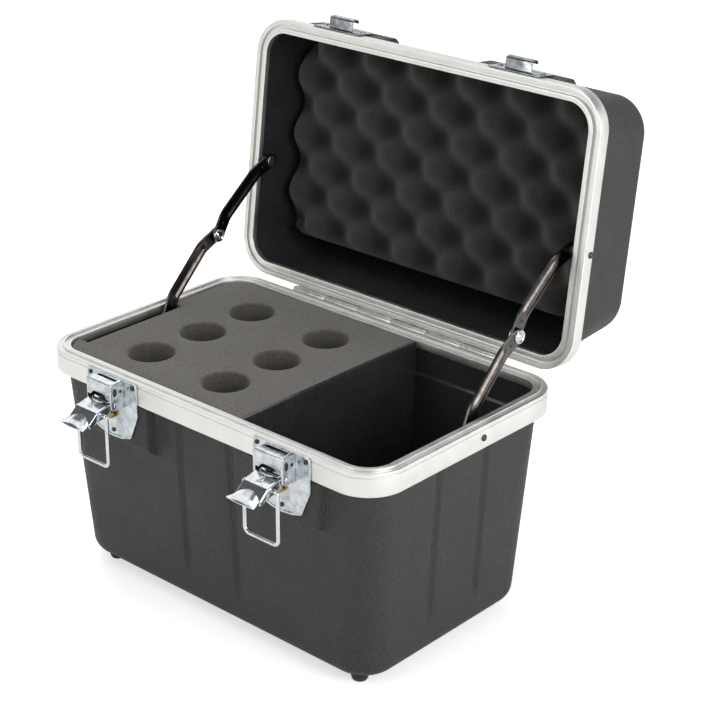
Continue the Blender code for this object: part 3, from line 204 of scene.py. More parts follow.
def stand(axis, a, b, level):
    """A point of an outline that is drawn across an axis."""
    return {"X": (level, a, b), "Y": (a, level, b), "Z": (a, b, level)}[axis]


def plate(outline, low, high, ease, axis, steps=3):
    """A flat plate between two levels, with eased edges."""
    rings = []
    for step in range(steps + 1):
        angle = math.pi / 2 * step / steps
        ring = shrunk(outline, ease * (1 - math.sin(angle)))
        rings.append((ring, low + ease * (1 - math.cos(angle))))
    rings += [(ring, low + high - level) for ring, level in rings[::-1]]
    return net([[stand(axis, a, b, level) for a, b in ring] for ring, level in rings], ends=True)


def turned(profile, axis, steps=48, a=0, b=0):
    """A turned part from pairs of level and radius."""
    rings = []
    for level, radius in profile:
        ring = arc(a, b, max(radius, MM / 500), 0, 2 * math.pi, steps)[:-1]
        rings.append([stand(axis, x, y, level) for x, y in ring])
    return net(rings, ends=True)


def wire(path, radius, sides=20):
    """A round wire along a path of points."""
    points = [Vector(point) for point in path]
    rings = []
    across = None
    for index, point in enumerate(points):
        before = points[max(index - 1, 0)]
        after = points[min(index + 1, len(points) - 1)]
        along = (after - before).normalized()
        if across is None:
            across = along.orthogonal()
        across = (across - along * across.dot(along)).normalized()
        up = along.cross(across)
        ring = arc(0, 0, radius, 0, 2 * math.pi, sides)[:-1]
        rings.append([tuple(point + across * a + up * b) for a, b in ring])
    return net(rings, ends=True)


print("a pin has", len(turned([(0, MM), (MM, MM)], "X")[1]), "faces")

# %% [markdown]
# ## How materials are written
# A material is a small tree of nodes. One function adds a node, sets it up and links what feeds it.
# Colours are written as the hex values seen on a screen and turned to the linear light that shaders
# use. Patterns sit on Object coordinates, which are metres here, so a scale is one over a real size.

# %% Colours and nodes
def hex_colour(code):
    """A screen colour such as #808080 as linear light."""
    screen = [int(code[start:start + 2], 16) / 255 for start in (1, 3, 5)]
    light = [value / 12.92 if value <= 0.04045 else ((value + 0.055) / 1.055) ** 2.4 for value in screen]
    return (*light, 1)


def add(tree, kind, inputs=(), **settings):
    """Adds a node with its settings, and with inputs that are values, hex colours, sockets or nodes."""
    node = tree.nodes.new(kind)
    for name, value in settings.items():
        setattr(node, name, value)
    for name, value in dict(inputs).items():
        if isinstance(value, bpy.types.Node):
            value = value.outputs[0]
        if isinstance(value, bpy.types.NodeSocket):
            tree.links.new(value, node.inputs[name])
        else:
            hex_code = isinstance(value, str) and value.startswith("#")
            node.inputs[name].default_value = hex_colour(value) if hex_code else value
    return node


def new_material(name):
    """An empty material and its tree."""
    made = bpy.data.materials.new(name)
    made.use_nodes = True
    made.node_tree.nodes.clear()
    return made, made.node_tree


MIX_A = 6
MIX_B = 7
MIX_COLOUR = 2
print("mid grey is", round(hex_colour("#808080")[0], 3), "in linear light")

# %% [markdown]
# ## Pebble-grained ABS
# The outside of such a case is ABS sheet with a leather-like grain that is rolled into it before it is
# heated and pulled over a mould. The grain's pebbles are about two millimetres across. It scatters light
# widely, so the walls look dark grey instead of black, with no clear reflections. The colour is painted
# near black between the pebbles and grey on their crowns: painted shade in the grain's crevices.

# %% Grained shell material
PEBBLE = 1.9 * MM
PEBBLE_HEIGHT = 0.5 * MM
grained_abs, tree = new_material("thermoformed_abs_pebble_grain")
spot = add(tree, "ShaderNodeTexCoord").outputs["Object"]
wander = add(tree, "ShaderNodeTexNoise", {"Vector": spot, "Scale": 0.6 / PEBBLE, "Detail": 2})
nudge = add(tree, "ShaderNodeVectorMath", {0: wander.outputs["Color"], "Scale": 0.7 * PEBBLE},
            operation="SCALE")
warped = add(tree, "ShaderNodeVectorMath", {0: spot, 1: nudge}, operation="ADD")
pebbles = add(tree, "ShaderNodeTexVoronoi", {"Vector": warped, "Scale": 1 / PEBBLE, "Smoothness": 0.4},
              feature="SMOOTH_F1")
crowns = add(tree, "ShaderNodeMapRange", {"Value": pebbles, "From Min": 0.1, "From Max": 0.62, "To Min": 1,
             "To Max": 0}, interpolation_type="SMOOTHSTEP")
patches = add(tree, "ShaderNodeTexNoise", {"Vector": spot, "Scale": 1 / (35 * MM), "Detail": 4})
# Near black in the hollows between pebbles, grey on their crowns: painted shade in the grain's crevices, on
# top of the bump.
grain_colour_painted_crevice_shade = add(tree, "ShaderNodeMix", {0: crowns, MIX_A: "#060606", MIX_B: "#323332"},
                  data_type="RGBA").outputs[MIX_COLOUR]
worn_colour = add(tree, "ShaderNodeMix", {0: patches, MIX_A: grain_colour_painted_crevice_shade, MIX_B: "#2e2f2e"},
                  data_type="RGBA").outputs[MIX_COLOUR]
haze = add(tree, "ShaderNodeMapRange", {"Value": patches, "From Min": 0.35, "From Max": 0.65, "To Min": 0.5,
           "To Max": 0.62})
relief = add(tree, "ShaderNodeBump", {"Height": crowns, "Distance": PEBBLE_HEIGHT, "Strength": 0.9})
shader = add(tree, "ShaderNodeBsdfPrincipled", {"Base Color": worn_colour, "Roughness": haze, "IOR": 1.53,
             "Normal": relief})
add(tree, "ShaderNodeOutputMaterial", {"Surface": shader})
print("pebbles of", PEBBLE / MM, "mm on", grained_abs.name)

# %% [markdown]
# ## Smooth side of the sheet
# The back of the same sheet is smooth. After forming it is glossy black with a slight wave, because
# the sheet cools unevenly. Wide soft waves in the bump bend the highlights without a visible pattern.

# %% Smooth ABS
glossy_abs, tree = new_material("thermoformed_abs_smooth_side")
spot = add(tree, "ShaderNodeTexCoord").outputs["Object"]
waves = add(tree, "ShaderNodeTexNoise", {"Vector": spot, "Scale": 1 / (28 * MM), "Detail": 1})
scuffs = add(tree, "ShaderNodeTexNoise", {"Vector": spot, "Scale": 1 / (4 * MM), "Detail": 6})
dull = add(tree, "ShaderNodeMapRange", {"Value": scuffs, "From Min": 0.4, "From Max": 0.7, "To Min": 0.2,
           "To Max": 0.34})
depth_colour = add(tree, "ShaderNodeMix", {0: waves, MIX_A: "#26282a", MIX_B: "#343637"},
                   data_type="RGBA").outputs[MIX_COLOUR]
relief = add(tree, "ShaderNodeBump", {"Height": waves, "Distance": 0.5 * MM, "Strength": 0.6})
shader = add(tree, "ShaderNodeBsdfPrincipled", {"Base Color": depth_colour, "Roughness": dull, "IOR": 1.53,
             "Normal": relief})
add(tree, "ShaderNodeOutputMaterial", {"Surface": shader})
print("made", glossy_abs.name)

# %% [markdown]
# ## Satin aluminium
# The valances are extruded aluminium with a satin, almost white anodised skin. Extruding leaves very
# fine lines along the bar. They are too fine to see one by one at this distance, so they are drawn
# about half a millimetre apart, and only faintly.

# %% Anodised valance material
EXTRUSION_LINE = 0.5 * MM
satin_aluminium, tree = new_material("extruded_aluminium_satin_anodised")
spot = add(tree, "ShaderNodeTexCoord").outputs["Object"]
split = add(tree, "ShaderNodeSeparateXYZ", {"Vector": spot})
height_lines = add(tree, "ShaderNodeTexNoise", {"W": split.outputs["Z"], "Scale": 1 / EXTRUSION_LINE,
                   "Detail": 2}, noise_dimensions="1D")
clouds = add(tree, "ShaderNodeTexNoise", {"Vector": spot, "Scale": 1 / (18 * MM), "Detail": 5})
tone = add(tree, "ShaderNodeMix", {0: clouds, MIX_A: "#dcdcd8", MIX_B: "#f0efeb"},
           data_type="RGBA").outputs[MIX_COLOUR]
satin = add(tree, "ShaderNodeMapRange", {"Value": clouds, "From Min": 0.3, "From Max": 0.7, "To Min": 0.36,
            "To Max": 0.48})
relief = add(tree, "ShaderNodeBump", {"Height": height_lines, "Distance": 0.02 * MM, "Strength": 0.5})
shader = add(tree, "ShaderNodeBsdfPrincipled", {"Base Color": tone, "Metallic": 1.0, "Roughness": satin,
             "Normal": relief})
add(tree, "ShaderNodeOutputMaterial", {"Surface": shader})
print("made", satin_aluminium.name)

# %% [markdown]
# ## Plated steel
# The latches, stays and hinge are stamped steel with bright plating. Plating follows the rolled sheet
# under it, which is never quite flat, so reflections wobble a little. Some parts are duller or darker
# than others, so one function builds the same tree for each metal with different numbers. The stays'
# and the catches' tones are set darker than bright plating: painted dark reflections of the studio.

# %% Bright and satin plating
def plated_steel(name, dark, light, smooth, rough, wobble):
    """Plated sheet steel: a metal whose tone and roughness drift over the surface."""
    made, tree = new_material(name)
    spot = add(tree, "ShaderNodeTexCoord").outputs["Object"]
    drift = add(tree, "ShaderNodeTexNoise", {"Vector": spot, "Scale": 1 / (6 * MM), "Detail": 3})
    specks = add(tree, "ShaderNodeTexNoise", {"Vector": spot, "Scale": 1 / (0.9 * MM), "Detail": 5})
    stain = add(tree, "ShaderNodeMapRange", {"Value": drift, "From Min": 0.28, "From Max": 0.68})
    tone = add(tree, "ShaderNodeMix", {0: stain, MIX_A: dark, MIX_B: light},
               data_type="RGBA").outputs[MIX_COLOUR]
    gloss = add(tree, "ShaderNodeMapRange", {"Value": specks, "From Min": 0.3, "From Max": 0.7,
                "To Min": smooth, "To Max": rough})
    relief = add(tree, "ShaderNodeBump", {"Height": drift, "Distance": wobble, "Strength": 0.5})
    shader = add(tree, "ShaderNodeBsdfPrincipled", {"Base Color": tone, "Metallic": 1.0, "Roughness": gloss,
                 "Normal": relief})
    add(tree, "ShaderNodeOutputMaterial", {"Surface": shader})
    return made


bright_chrome = plated_steel("stamped_steel_bright_chrome", "#c4c8cc", "#dfe1e3", 0.08, 0.2, 0.12 * MM)
satin_zinc = plated_steel("stamped_steel_satin_zinc", "#b0b8bd", "#dfe3e5", 0.18, 0.32, 0.14 * MM)
# This dark metal also finishes the faces cut into the latch housings and the levers: painted shade.
nickel_dark_and_painted_cut_shade = plated_steel("turned_steel_nickel_dark_and_painted_cut_shade", "#3f3b37", "#5c5650", 0.3, 0.45, 0.05 * MM)
# The stays' tones are darker than plating is: painted dark reflection of the studio.
stay_plating_painted_dark = plated_steel("pressed_steel_stay_chrome", "#4a4644", "#6a6562", 0.16, 0.24, 0.08 * MM)
# The catches' tones are darker than plating is: painted dark reflection.
chrome_painted_dark_reflection = plated_steel("stamped_steel_chrome_painted_dark_reflection", "#64686b", "#a4a8ab", 0.1, 0.2, 0.1 * MM)
hinge_steel = plated_steel("rolled_steel_hinge_leaf", "#bdbcb7", "#e2e1dc", 0.3, 0.42, 0.1 * MM)
brass = plated_steel("turned_brass_post", "#8a6a30", "#c09a52", 0.25, 0.4, 0.05 * MM)
print("seven metals made")

# %% [markdown]
# ## Foam
# The block is open-cell polyurethane foam cut with a knife, so its face shows tiny cells as a mottled
# grey speckle. The lid's foam is the softer sort with peaks and valleys. Its tones are set darker than
# the block's, which is painted shade for the shade that it lies in under the lid, and its valleys are
# darkened further: painted shade. Cells are under a millimetre, drawn here near one millimetre so they
# show at this distance.

# %% Two foams
def foam_material(name, pore, cell, fluff, size, depth):
    """Open-cell foam: dark pores between paler cell walls, with no gloss at all."""
    made, tree = new_material(name)
    spot = add(tree, "ShaderNodeTexCoord").outputs["Object"]
    cells = add(tree, "ShaderNodeTexVoronoi", {"Vector": spot, "Scale": 1 / size})
    dust = add(tree, "ShaderNodeTexNoise", {"Vector": spot, "Scale": 0.8 / size, "Detail": 6,
               "Roughness": 0.7})
    blots = add(tree, "ShaderNodeTexNoise", {"Vector": spot, "Scale": 1 / (22 * MM), "Detail": 3})
    open_cells = add(tree, "ShaderNodeMath", {0: cells, 1: dust}, operation="MULTIPLY")
    mottle = add(tree, "ShaderNodeMapRange", {"Value": open_cells, "From Min": 0.08, "From Max": 0.4})
    speckle = add(tree, "ShaderNodeMix", {0: mottle, MIX_A: pore, MIX_B: cell},
                  data_type="RGBA").outputs[MIX_COLOUR]
    tone = add(tree, "ShaderNodeMix", {0: blots, MIX_A: speckle, MIX_B: fluff},
               data_type="RGBA").outputs[MIX_COLOUR]
    # Where a piece stores a valley share, as the lid's egg-crate does, its colour runs towards near black in
    # the valleys: painted shade.
    valley = add(tree, "ShaderNodeAttribute", attribute_name="valley").outputs["Fac"]
    shade = add(tree, "ShaderNodeMapRange", {"Value": valley, "From Min": 0.25, "From Max": 0.85,
                "To Max": 0.8}, interpolation_type="SMOOTHSTEP")
    shaded = add(tree, "ShaderNodeMix", {0: shade, MIX_A: tone, MIX_B: "#0b0b0b"},
                 data_type="RGBA").outputs[MIX_COLOUR]
    relief = add(tree, "ShaderNodeBump", {"Height": open_cells, "Distance": depth, "Strength": 0.8})
    shader = add(tree, "ShaderNodeBsdfPrincipled", {"Base Color": shaded, "Roughness": 1.0, "Normal": relief,
                 "Sheen Weight": 0.25, "Sheen Roughness": 0.6, "Specular IOR Level": 0.1})
    add(tree, "ShaderNodeOutputMaterial", {"Surface": shader})
    return made


CELL_DEPTH = 0.5 * MM
charcoal = ("#2f2d2b", "#726e68", "#55524e")
# The lid foam's tones are darker than the block's: painted shade, for the shade it lies in under the lid.
charcoal_darkened_as_painted_shade = ("#1f1f1e", "#403f3c", "#2f2e2c")
cut_foam = foam_material("polyurethane_foam_cut_charcoal", *charcoal, 1.1 * MM, CELL_DEPTH)
crate_foam = foam_material("polyurethane_foam_convoluted", *charcoal_darkened_as_painted_shade, 1.3 * MM, CELL_DEPTH)
rubber_feet = foam_material("moulded_rubber_matte", "#191919", "#232323", "#1d1d1d", 2.5 * MM, 0.04 * MM)
print("made", cut_foam.name, "and", crate_foam.name)

# %% [markdown]
# ## The thermoformed shells
# A heated sheet is sucked over a mould, so the shell has even walls, draft on every side and a large
# radius everywhere. Stiffening grooves are pressed in, and flat pads come out behind the latches. The
# wall is one net from the rim down to the closed end. Reliefs push its points in or out with a smooth
# ramp. The same net drawn again one wall thickness inside gives the smooth inner side.

# %% Shell forms
SHELL_INSET = 7 * MM
SHELL_RADIUS = 25 * MM
WALL = 2.5 * MM
CORNER_STEPS = 18
EDGE_STEPS = 10
RAMP_STEPS = 8
FILL_STEPS = 14
BEND_LEVELS = 8
GROOVE = {"half": 5.2 * MM, "depth": 2 * MM, "top": 9 * MM, "full": 17 * MM, "fade": 148 * MM,
          "end": 166 * MM}
SHOULDER_TOP = 27 * MM
SHOULDER_FALL = 4 * MM


def soft(value):
    """A ramp from 0 to 1 with smooth ends."""
    value = min(max(value, 0), 1)
    return value * value * (3 - 2 * value)


class Shell:
    """A shell's outer form as a function of side, place along the side and depth below the rim."""

    def __init__(self, height, taper, end_radius, edge, direction, grooves, pads, shoulder=0):
        self.height = height
        self.taper = taper
        self.end_radius = end_radius
        self.edge = edge
        self.direction = direction
        self.grooves = grooves
        self.pads = pads
        self.shoulder = shoulder

    def inset(self, depth, side):
        """How far a side's draft has brought it in at a depth."""
        return SHELL_INSET + self.taper[side % 2] * depth / self.height

    def columns(self, side):
        """Places along a side where the net has columns, and whether they keep upright."""
        run = (HALF_LENGTH, HALF_DEPTH)[side % 2] - SHELL_INSET - SHELL_RADIUS
        stops = {}
        for step in range(FILL_STEPS + 1):
            stops[round(run * (2 * step / FILL_STEPS - 1), 6)] = False
        for pad in self.pads if side == 0 else ():
            for sign in (-1, 1):
                for step in range(RAMP_STEPS + 1):
                    reach = pad["half"] + pad["ramp"] * step / RAMP_STEPS
                    stops[round(pad["at"] + sign * reach, 6)] = False
        for at in self.grooves[side % 2]:
            for place in [place for place in stops if abs(place - at) < 2 * GROOVE["half"]]:
                del stops[place]
            for step in range(-RAMP_STEPS, RAMP_STEPS + 1):
                stops[round(at + GROOVE["half"] * step / RAMP_STEPS, 6)] = True
        return sorted(stops.items())

    def push(self, side, place, depth):
        """How far a groove or a pad moves the wall outward."""
        total = 0
        for at in self.grooves[side % 2]:
            share = soft((depth - GROOVE["top"]) / (GROOVE["full"] - GROOVE["top"]))
            share *= soft((GROOVE["end"] - depth) / (GROOVE["end"] - GROOVE["fade"]))
            across = min(abs(place - at) / GROOVE["half"], 1)
            total -= GROOVE["depth"] * share * (1 + math.cos(math.pi * across)) / 2
        for pad in self.pads if side == 0 else ():
            share = soft((depth - pad["top"]) / pad["step"])
            share *= soft((pad["end"] - depth) / (pad["end"] - pad["low"]))
            share *= soft((pad["half"] + pad["ramp"] - abs(place - pad["at"])) / pad["ramp"])
            total += self.inset(depth, side) * share
        return total

    def ring(self, depth, inward=0, skin=0):
        """The wall's outline at a depth, drawn in by a skin and by a further amount."""
        draw = skin + inward
        if skin:
            draw += self.shoulder * soft((depth - SHOULDER_TOP) / SHOULDER_FALL)
        half_x = HALF_LENGTH - self.inset(depth, 1) - draw
        half_y = HALF_DEPTH - self.inset(depth, 0) - draw
        radius = SHELL_RADIUS + (self.end_radius - SHELL_RADIUS) * depth / self.height - draw
        points = []
        for side in range(4):
            out = half_x if side % 2 else half_y
            full_run = (HALF_LENGTH, HALF_DEPTH)[side % 2] - SHELL_INSET - SHELL_RADIUS
            run = (half_y if side % 2 else half_x) - radius
            places = []
            for place, upright in self.columns(side):
                along = place if upright else place * run / full_run
                places.append((along, out + self.push(side, place, depth)))
            for step in range(1, CORNER_STEPS):
                angle = math.pi / 2 * step / CORNER_STEPS
                places.append((run + radius * math.sin(angle), out - radius + radius * math.cos(angle)))
            cosine = (1, 0, -1, 0)[side]
            sine = (0, 1, 0, -1)[side]
            for along, away in places:
                x = along * cosine + away * sine
                y = along * sine - away * cosine
                points.append((x, y, self.direction * depth))
        return points

    def depths(self, start):
        """Levels of the net, close together where something bends."""
        centre = self.height - self.edge
        spans = [(start, centre, 16)]
        if self.grooves[0]:
            spans.append((GROOVE["top"], GROOVE["full"], BEND_LEVELS))
            spans.append((GROOVE["fade"], GROOVE["end"], 2 * BEND_LEVELS))
        if self.shoulder:
            spans.append((SHOULDER_TOP, SHOULDER_TOP + SHOULDER_FALL, BEND_LEVELS))
        for pad in self.pads[:1]:
            spans += [(pad["top"], pad["top"] + pad["step"], 3), (pad["low"], pad["end"], BEND_LEVELS)]
        found = set()
        for low, high, count in spans:
            found.update(round(low + (high - low) * step / count, 6) for step in range(count + 1))
        return sorted(found)

    def rings(self, start, skin):
        """Outlines from a starting depth down and round the bend to the closed end."""
        rings = [self.ring(depth, 0, skin) for depth in self.depths(start)]
        bend = self.edge - skin
        for step in range(1, EDGE_STEPS + 1):
            angle = math.pi / 2 * step / EDGE_STEPS
            depth = self.height - self.edge + bend * math.sin(angle)
            rings.append(self.ring(depth, bend * (1 - math.cos(angle)), skin))
        return rings

    def nets(self, start):
        """The grained outside, the smooth inside and the cut edge that joins them."""
        outer = self.rings(start, 0)
        inner = self.rings(start, WALL)
        walls = [net(outer), net(inner, finish=1)]
        for (points, faces, _), rings in zip(walls, (outer, inner)):
            faces.append(tuple(range(len(points) - len(rings[0]), len(points))))
        return *walls, net([outer[0], inner[0]])


print("a groove is", 2 * GROOVE["half"] / MM, "mm wide")

# %% [markdown]
# ## Base shell
# Two grooves run down each long side and each end. The base hides a step inside: below the lip the
# wall stands in a little, and the ledge catches a line of light in the empty part of the case.

# %% Base shell
LATCH_X = 92.5 * MM
base_pads = [{"at": side * LATCH_X, "half": 35.5 * MM, "ramp": 5 * MM, "top": 19.3 * MM, "step": 0.5 * MM,
              "low": 54 * MM, "end": 65 * MM} for side in (-1, 1)]
base_grooves = ((-28 * MM, 28 * MM), (-27.5 * MM, 27.5 * MM))
base_height = RIM_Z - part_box("base_shell")[0].z
BASE_TAPER = (9.1 * MM, 11.3 * MM)
BASE_END_RADIUS = 28.7 * MM
BASE_EDGE = 13 * MM
base_form = Shell(base_height, BASE_TAPER, BASE_END_RADIUS, BASE_EDGE, -1, base_grooves, base_pads, 1.2 * MM)
base_shell = draft("base_shell_formed", base_form.nets(1.5 * MM), [grained_abs, glossy_abs], at_rim, 60, True)
keep(base_shell, "base", "shell", "base_shell")

# %% [markdown]
# ## Lid shell
# The lid is pressed the same way, with no grooves, and with pads that carry the catches.

# %% Lid shell
lid_pads = [{"at": side * LATCH_X, "half": 41 * MM, "ramp": 8 * MM, "top": 11.9 * MM, "step": 0.5 * MM,
             "low": 28 * MM, "end": 37 * MM} for side in (-1, 1)]
lid_form = Shell(93.5 * MM, (8.9 * MM, 9.3 * MM), 29.5 * MM, 12 * MM, 1, ((), ()), lid_pads)
lid_shell = draft("lid_shell_formed", lid_form.nets(3.9 * MM), [grained_abs, glossy_abs], at_lid, 60, True)
keep(lid_shell, "lid", "shell", "lid_shell")

# %% [markdown]
# ## The valances
# A valance is one extruded bar, bent round four corners and joined at the back. The base's bar has a
# tongue on top and the lid's bar has a channel for it, which shows as a dark line round the open rim.
# Sweeping one rounded profile round the rim gives the real edges, lips and fine grooves in one go.

# %% Valances
RIM_RADIUS = 32 * MM
RIM_STEPS = 24


def valance(name, corners, place):
    """A profile of places inward, levels and corner radii in millimetres, swept round the rim."""
    profile = rounded([(a * MM, b * MM, r * MM) for a, b, r in corners], 4)
    rings = []
    for inward, level in profile:
        ring = []
        for corner, (sign_x, sign_y) in enumerate(((1, -1), (1, 1), (-1, 1), (-1, -1))):
            x = sign_x * (HALF_LENGTH - RIM_RADIUS)
            y = sign_y * (HALF_DEPTH - RIM_RADIUS)
            start = (corner - 1) * math.pi / 2
            ring += [(a, b, level) for a, b in arc(x, y, RIM_RADIUS - inward, start, math.pi / 2, RIM_STEPS)]
        rings.append(ring)
    return draft(name, [net(rings, along=True)], [satin_aluminium], place, 40)


base_profile = [
    (0, 0, 0.8), (2.1, 0, 0), (2.3, -0.3, 0), (2.6, -0.3, 0), (2.8, 0, 0), (4.7, 0, 0.15), (4.7, 1.5, 0.4),
    (6.7, 1.5, 0.4), (6.7, 0, 0.15), (8.7, 0, 0), (8.9, -0.3, 0), (9.2, -0.3, 0), (9.4, 0, 0),
    (11.5, 0, 0.6), (11.5, -7, 0.3), (10.6, -7, 0.3), (10.6, -1.2, 0.2), (1.2, -1.2, 0.2), (1.2, -17.8, 0.2),
    (7.5, -17.8, 0.2), (7.5, -19, 0.2), (0, -19, 0.8), (0, -3.9, 0.1), (0.5, -3.7, 0.1), (0.5, -3.2, 0.1),
    (0, -3, 0.1),
]
lid_profile = [
    (0, 0.3, 0.8), (2.0, 0.3, 0), (2.2, 0.6, 0), (2.5, 0.6, 0), (2.7, 0.3, 0), (4.2, 0.3, 0.2),
    (4.2, 3.7, 0.2), (7.2, 3.7, 0.2), (7.2, 0.3, 0.2), (8.8, 0.3, 0), (9.0, 0.6, 0), (9.3, 0.6, 0),
    (9.5, 0.3, 0), (11.5, 0.3, 0.6), (11.5, 5.2, 0.3), (10.6, 5.2, 0.3), (10.6, 1.5, 0.2),
    (8.3, 1.5, 0.2), (8.3, 4.8, 0.2), (3.1, 4.8, 0.2),
    (3.1, 1.5, 0.2), (1.2, 1.5, 0.2), (1.2, 10.1, 0.2), (7.5, 10.1, 0.2), (7.5, 11.3, 0.2), (0, 11.3, 0.8),
    (0, 3.6, 0.1), (0.4, 3.4, 0.1), (0.4, 3.0, 0.1), (0, 2.8, 0.1),
]
keep(valance("base_valance_bar", base_profile, at_rim), "base", "valance", "base_valance")
keep(valance("lid_valance_bar", lid_profile, at_lid), "lid", "valance", "lid_valance")

# %% [markdown]
# ## Foam block
# A block of firm foam fills the left part of the base, with six drops for the microphones. Foam can't
# hold a sharp edge, so its rim rolls over and each hole flares at the top. The block is a net cut by
# flared bars with Boolean modifiers, which are then written into the mesh.

# %% Foam block with six drops
FOAM_TOP = 1.5 * MM
FOAM_SKIN = WALL + 0.3 * MM
DROP_RADIUS = 19 * MM
DROP_DEPTH = 150 * MM
DROP_COLUMNS = (-104 * MM, -19 * MM)
DROP_ROWS = (-60 * MM, -3 * MM, 54 * MM)
FLARE = 2.2 * MM
FLARE_STEPS = 6


def carve(piece, cutters, operation, ease=0):
    """Applies one Boolean for each cutter, then a bevel on the cut edges, and removes the cutters."""
    for cutter in cutters:
        cut = piece.modifiers.new("cut", "BOOLEAN")
        cut.operation = operation
        cut.object = cutter
        cut.solver = "EXACT"
        cut.material_mode = "TRANSFER"
    if ease:
        bevel = piece.modifiers.new("ease", "BEVEL")
        bevel.width = ease
        bevel.segments = 2
        bevel.limit_method = "ANGLE"
        bevel.angle_limit = math.radians(50)
        bevel.use_clamp_overlap = True
    settle(piece)
    for cutter in cutters:
        bpy.data.objects.remove(cutter, do_unlink=True)
    return piece


def block(name, low, high, place, finish=cut_foam):
    """A plain bar for cutting, whose finish goes to the faces that it cuts."""
    outline = [(low[0], low[1]), (high[0], low[1]), (high[0], high[1]), (low[0], high[1])]
    rings = [[(a, b, level) for a, b in outline] for level in (low[2], high[2])]
    return draft(name, [net(rings, ends=True)], [finish], place)


foam_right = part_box("foam_block")[1].x
plain_base = Shell(base_height, BASE_TAPER, BASE_END_RADIUS, BASE_EDGE, -1, ((), ()), ())
under_lip = 11.5 * MM - SHELL_INSET - WALL
foam_rings = []
for step in range(FLARE_STEPS + 1):
    angle = math.pi / 2 * step / FLARE_STEPS
    roll = FLARE * (1 - math.sin(angle))
    foam_rings.append(plain_base.ring(FOAM_TOP + FLARE * (1 - math.cos(angle)), under_lip + roll, FOAM_SKIN))
foam_rings.append(plain_base.ring(7 * MM, under_lip, FOAM_SKIN))
foam_rings += plain_base.rings(7.4 * MM, FOAM_SKIN)
foam_block = draft("foam_block_cut", [net(foam_rings, ends=True)], [cut_foam], at_rim)
past_foam = block("right_of_foam", (foam_right, -HALF_DEPTH, -0.2), (HALF_LENGTH, HALF_DEPTH, 0.1), at_rim)
carve(foam_block, [past_foam], "DIFFERENCE")
drops = []
for x in DROP_COLUMNS:
    for y in DROP_ROWS:
        profile = [(-DROP_DEPTH, DROP_RADIUS)]
        for step in range(FLARE_STEPS + 1):
            angle = math.pi / 2 * step / FLARE_STEPS
            level = -FOAM_TOP - FLARE + FLARE * math.sin(angle)
            profile.append((level, DROP_RADIUS + FLARE * (1 - math.cos(angle))))
        profile.append((5 * MM, DROP_RADIUS + FLARE))
        drops.append(draft("drop", [turned(profile, "Z", 96, x, y)], [cut_foam], at_rim))
stay_room = block("stay_room", (-HALF_LENGTH, -82 * MM, -27.5 * MM), (-156.1 * MM, 22.5 * MM, 5 * MM), at_rim)
carve(foam_block, drops + [stay_room], "DIFFERENCE")
keep(foam_block, "base", "foam", "foam_block")

# %% [markdown]
# ## Egg-crate foam in the lid
# Convoluted foam is cut between rollers that press it unevenly, so one sheet comes apart as two, each
# with peaks where the other has valleys. Its height is a product of two waves, which is a rule, so
# Geometry Nodes make it: a fine box whose front follows the waves and whose corners are rounded.

# %% Egg-crate foam by Geometry Nodes
def new_group(name, inputs):
    """A geometry tree with named number inputs and one geometry output."""
    tree = bpy.data.node_groups.new(name, "GeometryNodeTree")
    tree.interface.new_socket("Geometry", in_out="OUTPUT", socket_type="NodeSocketGeometry")
    tree.interface.new_socket("Geometry", in_out="INPUT", socket_type="NodeSocketGeometry")
    for label, kind in inputs.items():
        tree.interface.new_socket(label, in_out="INPUT", socket_type=kind)
    return tree, tree.nodes.new("NodeGroupInput")


def grown(name, tree, values, seed_mesh, material):
    """Runs a geometry tree on a seed mesh and keeps the result as a plain mesh."""
    piece = bpy.data.objects.new(name, seed_mesh)
    bpy.context.scene.collection.objects.link(piece)
    modifier = piece.modifiers.new("grow", "NODES")
    modifier.node_group = tree
    for item in tree.interface.items_tree:
        if item.in_out == "INPUT" and item.name in values:
            modifier[item.identifier] = values[item.name]
    settle(piece, 50)
    if not piece.data.materials:
        piece.data.materials.append(material)
    return piece


WAVE_SHIFT = 3.95 * MM
number = "NodeSocketFloat"
crate_tree, given = new_group("egg_crate", {"Half Length": number, "Half Depth": number, "Thickness": number,
                                            "Pitch": number, "Swing": number, "Corner": number})


def maths(tree, operation, first, second=0.0, third=0.0):
    """One step of arithmetic on numbers or sockets."""
    return add(tree, "ShaderNodeMath", {0: first, 1: second, 2: third}, operation=operation)


length = maths(crate_tree, "MULTIPLY", given.outputs["Half Length"], 2.0)
depth = maths(crate_tree, "MULTIPLY", given.outputs["Half Depth"], 2.0)
thickness = given.outputs["Thickness"]
size = add(crate_tree, "ShaderNodeCombineXYZ", {0: length, 1: depth, 2: thickness})
crate_box = add(crate_tree, "GeometryNodeMeshCube", {"Size": size, "Vertices X": 190, "Vertices Y": 106,
                "Vertices Z": 4})
spot = add(crate_tree, "GeometryNodeInputPosition")
split = add(crate_tree, "ShaderNodeSeparateXYZ", {0: spot})
turn = maths(crate_tree, "DIVIDE", 2 * math.pi, given.outputs["Pitch"])
wave_x = maths(crate_tree, "COSINE", maths(crate_tree, "MULTIPLY", split.outputs[0], turn))
shifted = maths(crate_tree, "ADD", split.outputs[1], WAVE_SHIFT)
wave_y = maths(crate_tree, "COSINE", maths(crate_tree, "MULTIPLY", shifted, turn))
wave = maths(crate_tree, "MULTIPLY", wave_x, wave_y)
fall = maths(crate_tree, "MULTIPLY", maths(crate_tree, "SUBTRACT", 1.0, wave), given.outputs["Swing"])
half_thick = maths(crate_tree, "MULTIPLY", thickness, 0.5)
level = maths(crate_tree, "DIVIDE", maths(crate_tree, "SUBTRACT", half_thick, split.outputs[2]), thickness)
lift = maths(crate_tree, "MULTIPLY", fall, level)


